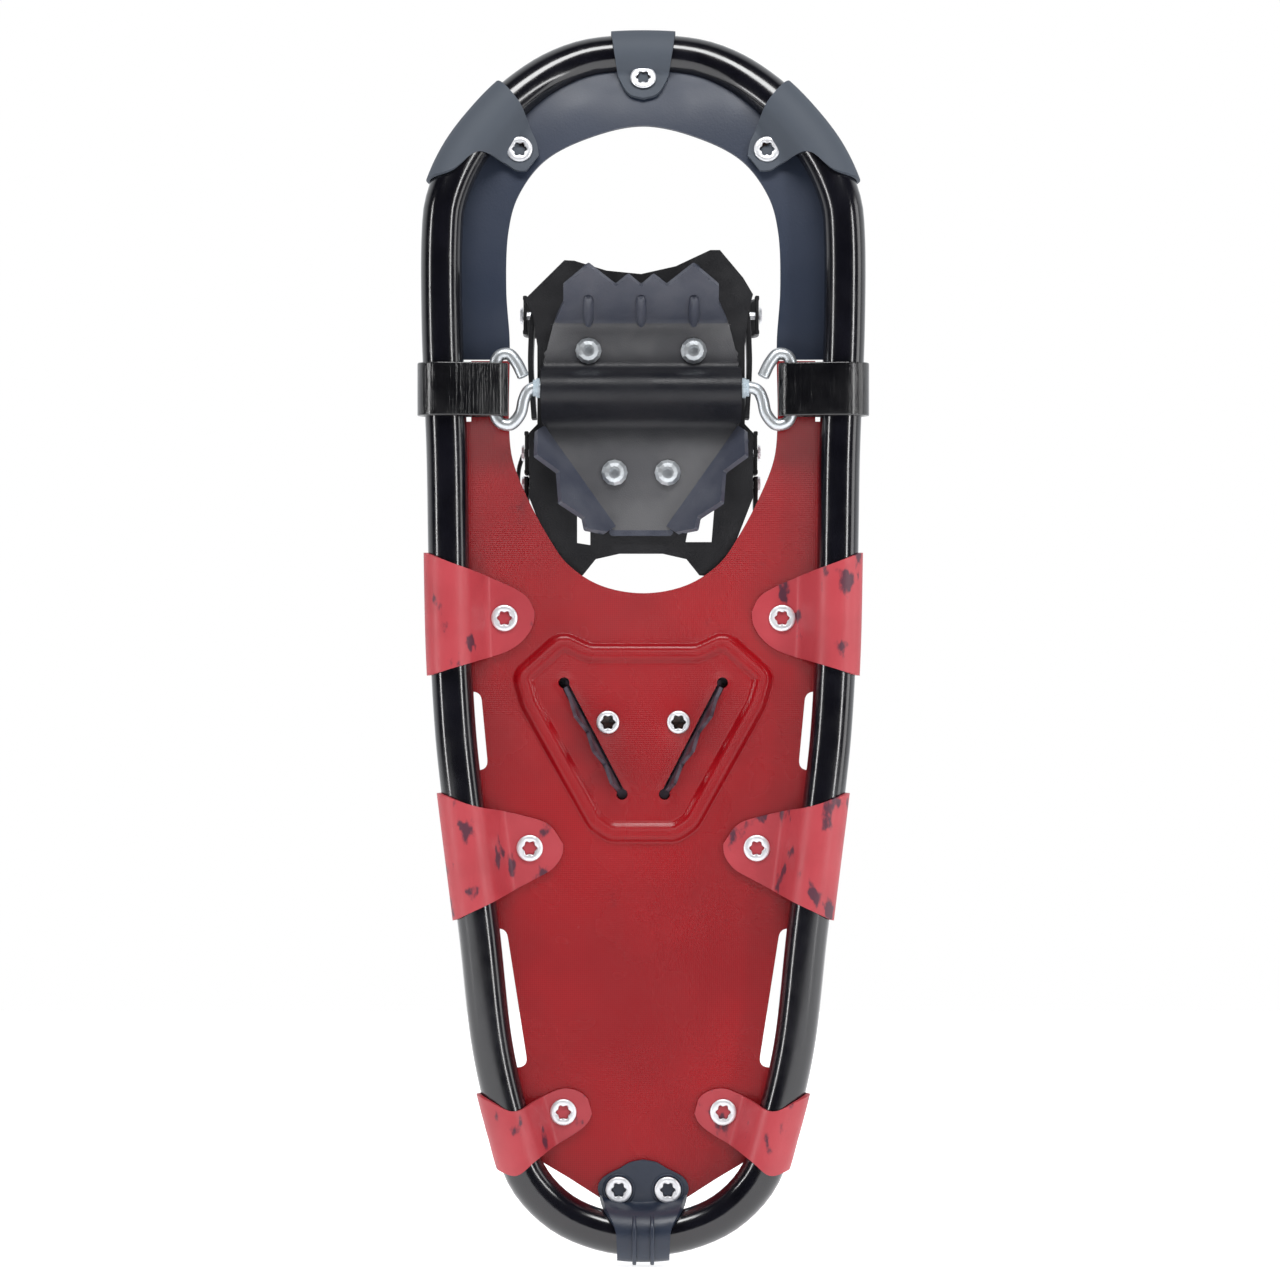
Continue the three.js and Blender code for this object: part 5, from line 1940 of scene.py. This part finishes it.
class Harness:
    """Moulded toe wall and the ribbed straps over the toe, the instep and round the heel."""

    def __init__(self, sizes: HarnessSizes, row: Row) -> None:
        """Keeps the sizes.

        Args:
            sizes: the harness's sizes.
            row: the row frame.
        """
        self.sizes, self.row = sizes, row

    def _arch(self, shape: tuple[float, float, float, float], level: float) -> list[Vector]:
        """Lays the line of a strap over the boot.

        Args:
            shape: its foot, half width, shoulder and top.
            level: its height along the shoe.

        Returns: the points.
        """
        foot, half, shoulder, top = shape
        right = [
            (half, foot), (half, 30), (half, 41), (half - 1.5, 48), (half - 5.4, (48 + shoulder) / 2 + 1),
            (half - 9.4, shoulder + 0.6), (34, (shoulder + top) / 2 + 1.5),
            (26, top - 4.0), (15, top), (0, top),
        ]
        line = smooth_line([*right, *mirrored(right)[1:]], 7)
        return [self.row.put(self.sizes.middle + p.x, p.y, level) for p in line]

    def _band(
        self, name: str, spine: Sequence[Vector], width: float, wide: Vector, thickness: float,
    ) -> None:
        """Moulds a urethane strap with raised edges along a line.

        Args:
            name: the CAD node it stands for.
            spine: the line's points.
            width: its width.
            wide: direction of its width.
            thickness: its thickness.
        """
        a, b, sink = width / 2, thickness / 2, 0.25
        right = [(a - 0.4, -b), (a, -b * 0.6), (a, b * 0.6), (a - 0.4, b)]
        top = [(a - 1.7, b), (a - 2.1, b - sink), (0, b - sink), (2.1 - a, b - sink), (1.7 - a, b)]
        section = [*right, *top, *[(-x, -y) for x, y in right], *[(-x, -y) for x, y in top]]
        strap = mesh_object(f"moulded_{name}", *sweep(spine, section, wide), STRAP, crease=50)
        keep(bevelled(strap, 0.12, 2, 50), Body.BINDING, "strap", name)

    def _ladder(self, name: str, spine: Sequence[Vector], width: float, wide: Vector, share: Pair) -> None:
        """Raises the ladder of grip bars on the outer face of a strap.

        Args:
            name: the strap's name.
            spine: the strap's line.
            width: the strap's width.
            wide: direction of the strap's width.
            share: the stretch that carries bars, as shares of the strap's length.
        """
        s = self.sizes
        ways = np.concatenate([[0], np.cumsum([(b - a).length for a, b in zip(spine, spine[1:])])])
        points = np.array([tuple(p) for p in spine])
        verts: list[Vector] = []
        faces: Faces = []
        for way in np.arange(share[0] * ways[-1], share[1] * ways[-1], s.bar_pitch / 1000):
            here, ahead = (
                Vector([float(np.interp(place, ways, points[:, k])) for k in range(3)])
                for place in (way, way + 0.001)
            )
            along = (ahead - here).normalized()
            out = along.cross(wide)
            middle = here + out * (s.thickness / 2 - 0.3) / 1000
            half = (width / 2 - 2.6) / 1000
            inner = half - 0.0005
            rings = []
            for reach, (deep, tall) in ((-half, s.bar_end), (-inner, s.bar), (inner, s.bar), (half, s.bar_end)):
                point = middle + wide * reach
                rings.append([point + (along * a * deep + out * b * tall) / 1000 for a, b in circle(1, 12)])
            more, sides = loft(rings)
            faces += [tuple(i + len(verts) for i in face) for face in sides]
            verts += more
        keep(mesh_object(f"{name}_grip_bars", verts, faces, STRAP, crease=50), Body.BINDING, "strap")

    def _toe_wall(self) -> None:
        """Moulds the upright wall round the toe of the boot."""
        s = self.sizes
        line = smooth_line(s.wall, 9)
        ways = np.concatenate([[0], np.cumsum([(b - a).length for a, b in zip(line, line[1:])])])
        xs, zs = np.array([p.x for p in line]), np.array([p.y for p in line])
        low, high = s.wall_band
        end = ways[-1]
        top = [(0.6, high - 7), (8, high - 5), (30, high - 0.5), (end / 2, high)]
        top += [(end - 30, high - 0.5), (end - 8, high - 5), (end - 0.6, high - 7)]
        outline = rounded([(0.6, low), (end - 0.6, low), *reversed(top)], 2.0, 4)
        loops = [resampled(outline, 2.0)]
        order = np.argsort(xs)
        foot, head = low + s.window_foot, high - s.window_head
        for window in s.windows:
            a, b = (float(np.interp(x, xs[order], ways[order])) for x in window)
            loops.append(resampled(rounded([(a, foot), (b, foot), (b, head), (a, head)], 2.6, 4), 1.4))

        def bend(flat: np.ndarray) -> np.ndarray:
            """Returns: the flat points laid along the wall's line."""
            x, z = np.interp(flat[:, 0], ways, xs), np.interp(flat[:, 0], ways, zs)
            return np.column_stack([s.middle + x, flat[:, 1], z])

        wall = Sheet(loops, 2.6, bend, s.wall_thickness).build("toe_wall", self.row, PLASTIC)
        keep(bevelled(wall, 0.5, 3, 50), Body.BINDING, "base", "toe_harness")

    def build(self) -> None:
        """Builds the toe wall and all four straps."""
        s = self.sizes
        up, out = Vector((0, 0, 1)), Vector((0, 1, 0))
        arches = (("toe_strap", s.toe_arch, s.toe_band), ("instep_strap", s.instep_arch, s.instep_band))
        for name, shape, (low, high) in arches:
            spine = self._arch(shape, (low + high) / 2)
            self._band(name, spine, high - low, up, s.thickness)
            self._ladder(name, spine, high - low, up, s.arch_bars)
        heel = smooth_line([*s.heel_half, (0, s.heel_end), *mirrored(s.heel_half)], 6)
        low, high = s.heel_band
        spine = [self.row.put(s.middle + p.x, (low + high) / 2, p.y) for p in heel]
        self._band("heel_strap", spine, high - low, out, s.thickness)
        self._ladder("heel_strap", spine, high - low, out, s.heel_bars)
        low, high = s.tail_band
        tail = [self.row.put(p.x, (low + high) / 2, p.y) for p in smooth_line(s.tail, 6)]
        self._band("strap_tail", tail, high - low, out, s.tail_thickness)
        self._toe_wall()


# ---- pieces that keep their CAD shape ---------------------------------------------------------


@dataclass(frozen=True)
class Dressed:
    """CAD nodes that keep their shape: their finish and edge rounding in millimetres."""

    nodes: tuple[str, ...]
    finish: Finish
    bevel: float
    crease: float = 40


def each_side(kind: str, rows: Sequence[str]) -> tuple[str, ...]:
    """Lists the CAD nodes of a kind that come in rows, one on each side.

    Args:
        kind: start of their names.
        rows: names of the rows.

    Returns: the node names.
    """
    return tuple(f"{kind}_{row}_{side.word}" for row in rows for side in Side)


class CadPieces:
    """Gives the pieces carried over from the CAD model their finish and soft edges."""

    plan: tuple[Dressed, ...] = (
        Dressed(("binding_base",), PLASTIC, 0.7),
        Dressed(each_side("binding_bolt", ("front", "rear")), ZINC, 0.25),
        Dressed(("axle_bushing_left", "axle_bushing_right"), MILKY, 0.2),
        Dressed(each_side("strap_rivet", ("toe", "instep", "heel")), BRIGHT, 0.2),
        Dressed(("toe_buckle", "instep_buckle", "heel_buckle"), PLASTIC, 0.4),
        Dressed(("toe_buckle_lever", "instep_buckle_lever", "heel_buckle_lever"), LEVER, 0.4),
        Dressed(("heel_crampon",), BLADE, 0.35),
        Dressed(("heel_pad",), PAD, 0.7),
    )

    def dress(self) -> None:
        """Puts the finishes on and rounds the edges."""
        for group in self.plan:
            for node in group.nodes:
                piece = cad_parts[node]
                for place in piece.material_slots:
                    place.material = group.finish.material()
                bevelled(piece, group.bevel, 2, group.crease)
                LOG.info("dressed %s in %s", node, group.finish.name)


# ---- studio -------------------------------------------------------------------------------------


@dataclass(frozen=True)
class Lamp:
    """Area light: place and aim in metres, size, power in watts, and the one piece it lights, if any."""

    name: str
    place: Color
    aim: Color
    size: Pair
    power: float
    only: str = ""


@dataclass(frozen=True)
class StudioSizes:
    """Camera, floor and lights."""

    target: Color = (-0.0015, 0.0, -0.2379)
    distance: float = 2.2
    view: float = 0.5888
    floor: float = 1.5
    front_light: float = 0.012
    back_light: float = 0.9
    lamps: tuple[Lamp, ...] = (
        Lamp("left_strip", (-1.4, -0.56, -0.2), (0, 0, -0.24), (0.13, 1.7), 10),
        Lamp("right_strip", (1.24, -1.0, -0.2), (0, 0, -0.24), (0.15, 1.7), 11),
        Lamp("right_panel", (1.5, -0.1, -0.2), (0, 0, -0.24), (0.5, 1.7), 7),
        Lamp("top", (0.0, -0.8, 1.1), (0, 0, -0.15), (1.3, 0.4), 22),
        Lamp("veil", (0.0, -1.9, 0.12), (0, 0, 0.1), (1.3, 0.62), 9, only="red_deck"),
    )


class Studio:
    """Pale floor, soft lights and the camera square to the sole."""

    def __init__(self, sizes: StudioSizes) -> None:
        """Keeps the sizes.

        Args:
            sizes: the studio's sizes.
        """
        self.sizes = sizes

    def camera(self) -> None:
        """Sets the camera up square to the sole."""
        s = self.sizes
        data = bpy.data.cameras.new("camera")
        data.sensor_width = 36
        data.lens = data.sensor_width / 2 / (s.view / 2 / s.distance)
        data.clip_start = 0.05
        camera = bpy.data.objects.new("camera", data)
        camera.location = (s.target[0], s.target[1] - s.distance, s.target[2])
        camera.rotation_euler = (math.pi / 2, 0, 0)
        bpy.context.scene.collection.objects.link(camera)
        bpy.context.scene.camera = camera

    def world(self) -> None:
        """Makes a white backdrop that lights the object softly."""
        world = bpy.data.worlds.new("studio")
        bpy.context.scene.world = world
        world.use_nodes = True
        tree = world.node_tree
        tree.nodes.clear()
        output = tree.nodes.new("ShaderNodeOutputWorld")
        seen, lit = tree.nodes.new("ShaderNodeBackground"), tree.nodes.new("ShaderNodeBackground")
        seen.inputs["Color"].default_value = (1, 1, 1, 1)
        seen.inputs["Strength"].default_value = 1.0
        lit.inputs["Color"].default_value = (0.95, 0.97, 1, 1)
        place, split = tree.nodes.new("ShaderNodeTexCoord"), tree.nodes.new("ShaderNodeSeparateXYZ")
        behind = tree.nodes.new("ShaderNodeMapRange")
        behind.interpolation_type = "SMOOTHSTEP"
        for name, value in (("From Min", 0.0), ("From Max", 0.4), ("To Min", self.sizes.front_light),
                            ("To Max", self.sizes.back_light)):
            behind.inputs[name].default_value = value
        tree.links.new(place.outputs["Generated"], split.inputs[0])
        tree.links.new(split.outputs["Y"], behind.inputs["Value"])
        tree.links.new(behind.outputs["Result"], lit.inputs["Strength"])
        path, mix = tree.nodes.new("ShaderNodeLightPath"), tree.nodes.new("ShaderNodeMixShader")
        tree.links.new(path.outputs["Is Camera Ray"], mix.inputs[0])
        tree.links.new(lit.outputs[0], mix.inputs[1])
        tree.links.new(seen.outputs[0], mix.inputs[2])
        tree.links.new(mix.outputs[0], output.inputs["Surface"])

    def floor(self) -> None:
        """Lays a pale floor under the tail."""
        size, level = self.sizes.floor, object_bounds()[0][2] - 0.0002
        mesh = bpy.data.meshes.new("floor")
        corners = [(-size, -size, level), (size, -size, level), (size, size, level), (-size, size, level)]
        mesh.from_pydata(corners, [], [(0, 1, 2, 3)])
        material = bpy.data.materials.new("floor_white")
        material.use_nodes = True
        shader = material.node_tree.nodes["Principled BSDF"]
        shader.inputs["Base Color"].default_value = (0.8, 0.8, 0.81, 1)
        shader.inputs["Roughness"].default_value = 0.9
        shader.inputs["Specular IOR Level"].default_value = 0.1
        shader.inputs["Emission Color"].default_value = (1, 1, 1, 1)
        shader.inputs["Emission Strength"].default_value = 0.8
        mesh.materials.append(material)
        floor = bpy.data.objects.new("floor", mesh)
        bpy.context.scene.collection.objects.link(floor)
        floor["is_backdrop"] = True

    def lights(self) -> None:
        """Hangs the area lights."""
        for lamp in self.sizes.lamps:
            data = bpy.data.lights.new(lamp.name, "AREA")
            data.shape = "RECTANGLE"
            data.size, data.size_y = lamp.size
            data.energy = lamp.power
            light = bpy.data.objects.new(lamp.name, data)
            light.location = lamp.place
            aim = Vector(lamp.aim) - Vector(lamp.place)
            light.rotation_euler = aim.to_track_quat("-Z", "Y").to_euler()
            if lamp.only:
                lit = bpy.data.collections.new(f"lit_by_{lamp.name}")
                lit.objects.link(bpy.data.objects[lamp.only])
                light.light_linking.receiver_collection = lit
            bpy.context.scene.collection.objects.link(light)

    def build(self) -> None:
        """Sets up the whole studio."""
        self.world()
        self.floor()
        self.lights()
        self.camera()
        bpy.context.scene.view_settings.view_transform = "Standard"


def main() -> None:
    """Builds every sub-assembly around the CAD frame."""
    logging.basicConfig(level=logging.INFO, format="%(message)s")
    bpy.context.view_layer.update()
    size = TubeSize()
    row, line, rivets = Row(size), FrameLine(size), RivetPlan()
    FrameTube(line, row).build()
    MainDeck(DeckSizes(), rivets, line, row).build()
    toe_deck = ToeDeck(ToeDeckSizes(), rivets, line, row)
    toe_deck.build()
    FrameStraps(WrapSizes(), line, row).build()
    Rivets(rivets, toe_deck, row).build()
    Suspension(RodSizes(), line, row).build()
    ToeCrampon(CramponSizes(), row).build()
    Harness(HarnessSizes(), row).build()
    CadPieces().dress()
    Studio(StudioSizes()).build()
    bpy.context.view_layer.update()


if __name__ == "__main__":
    main()
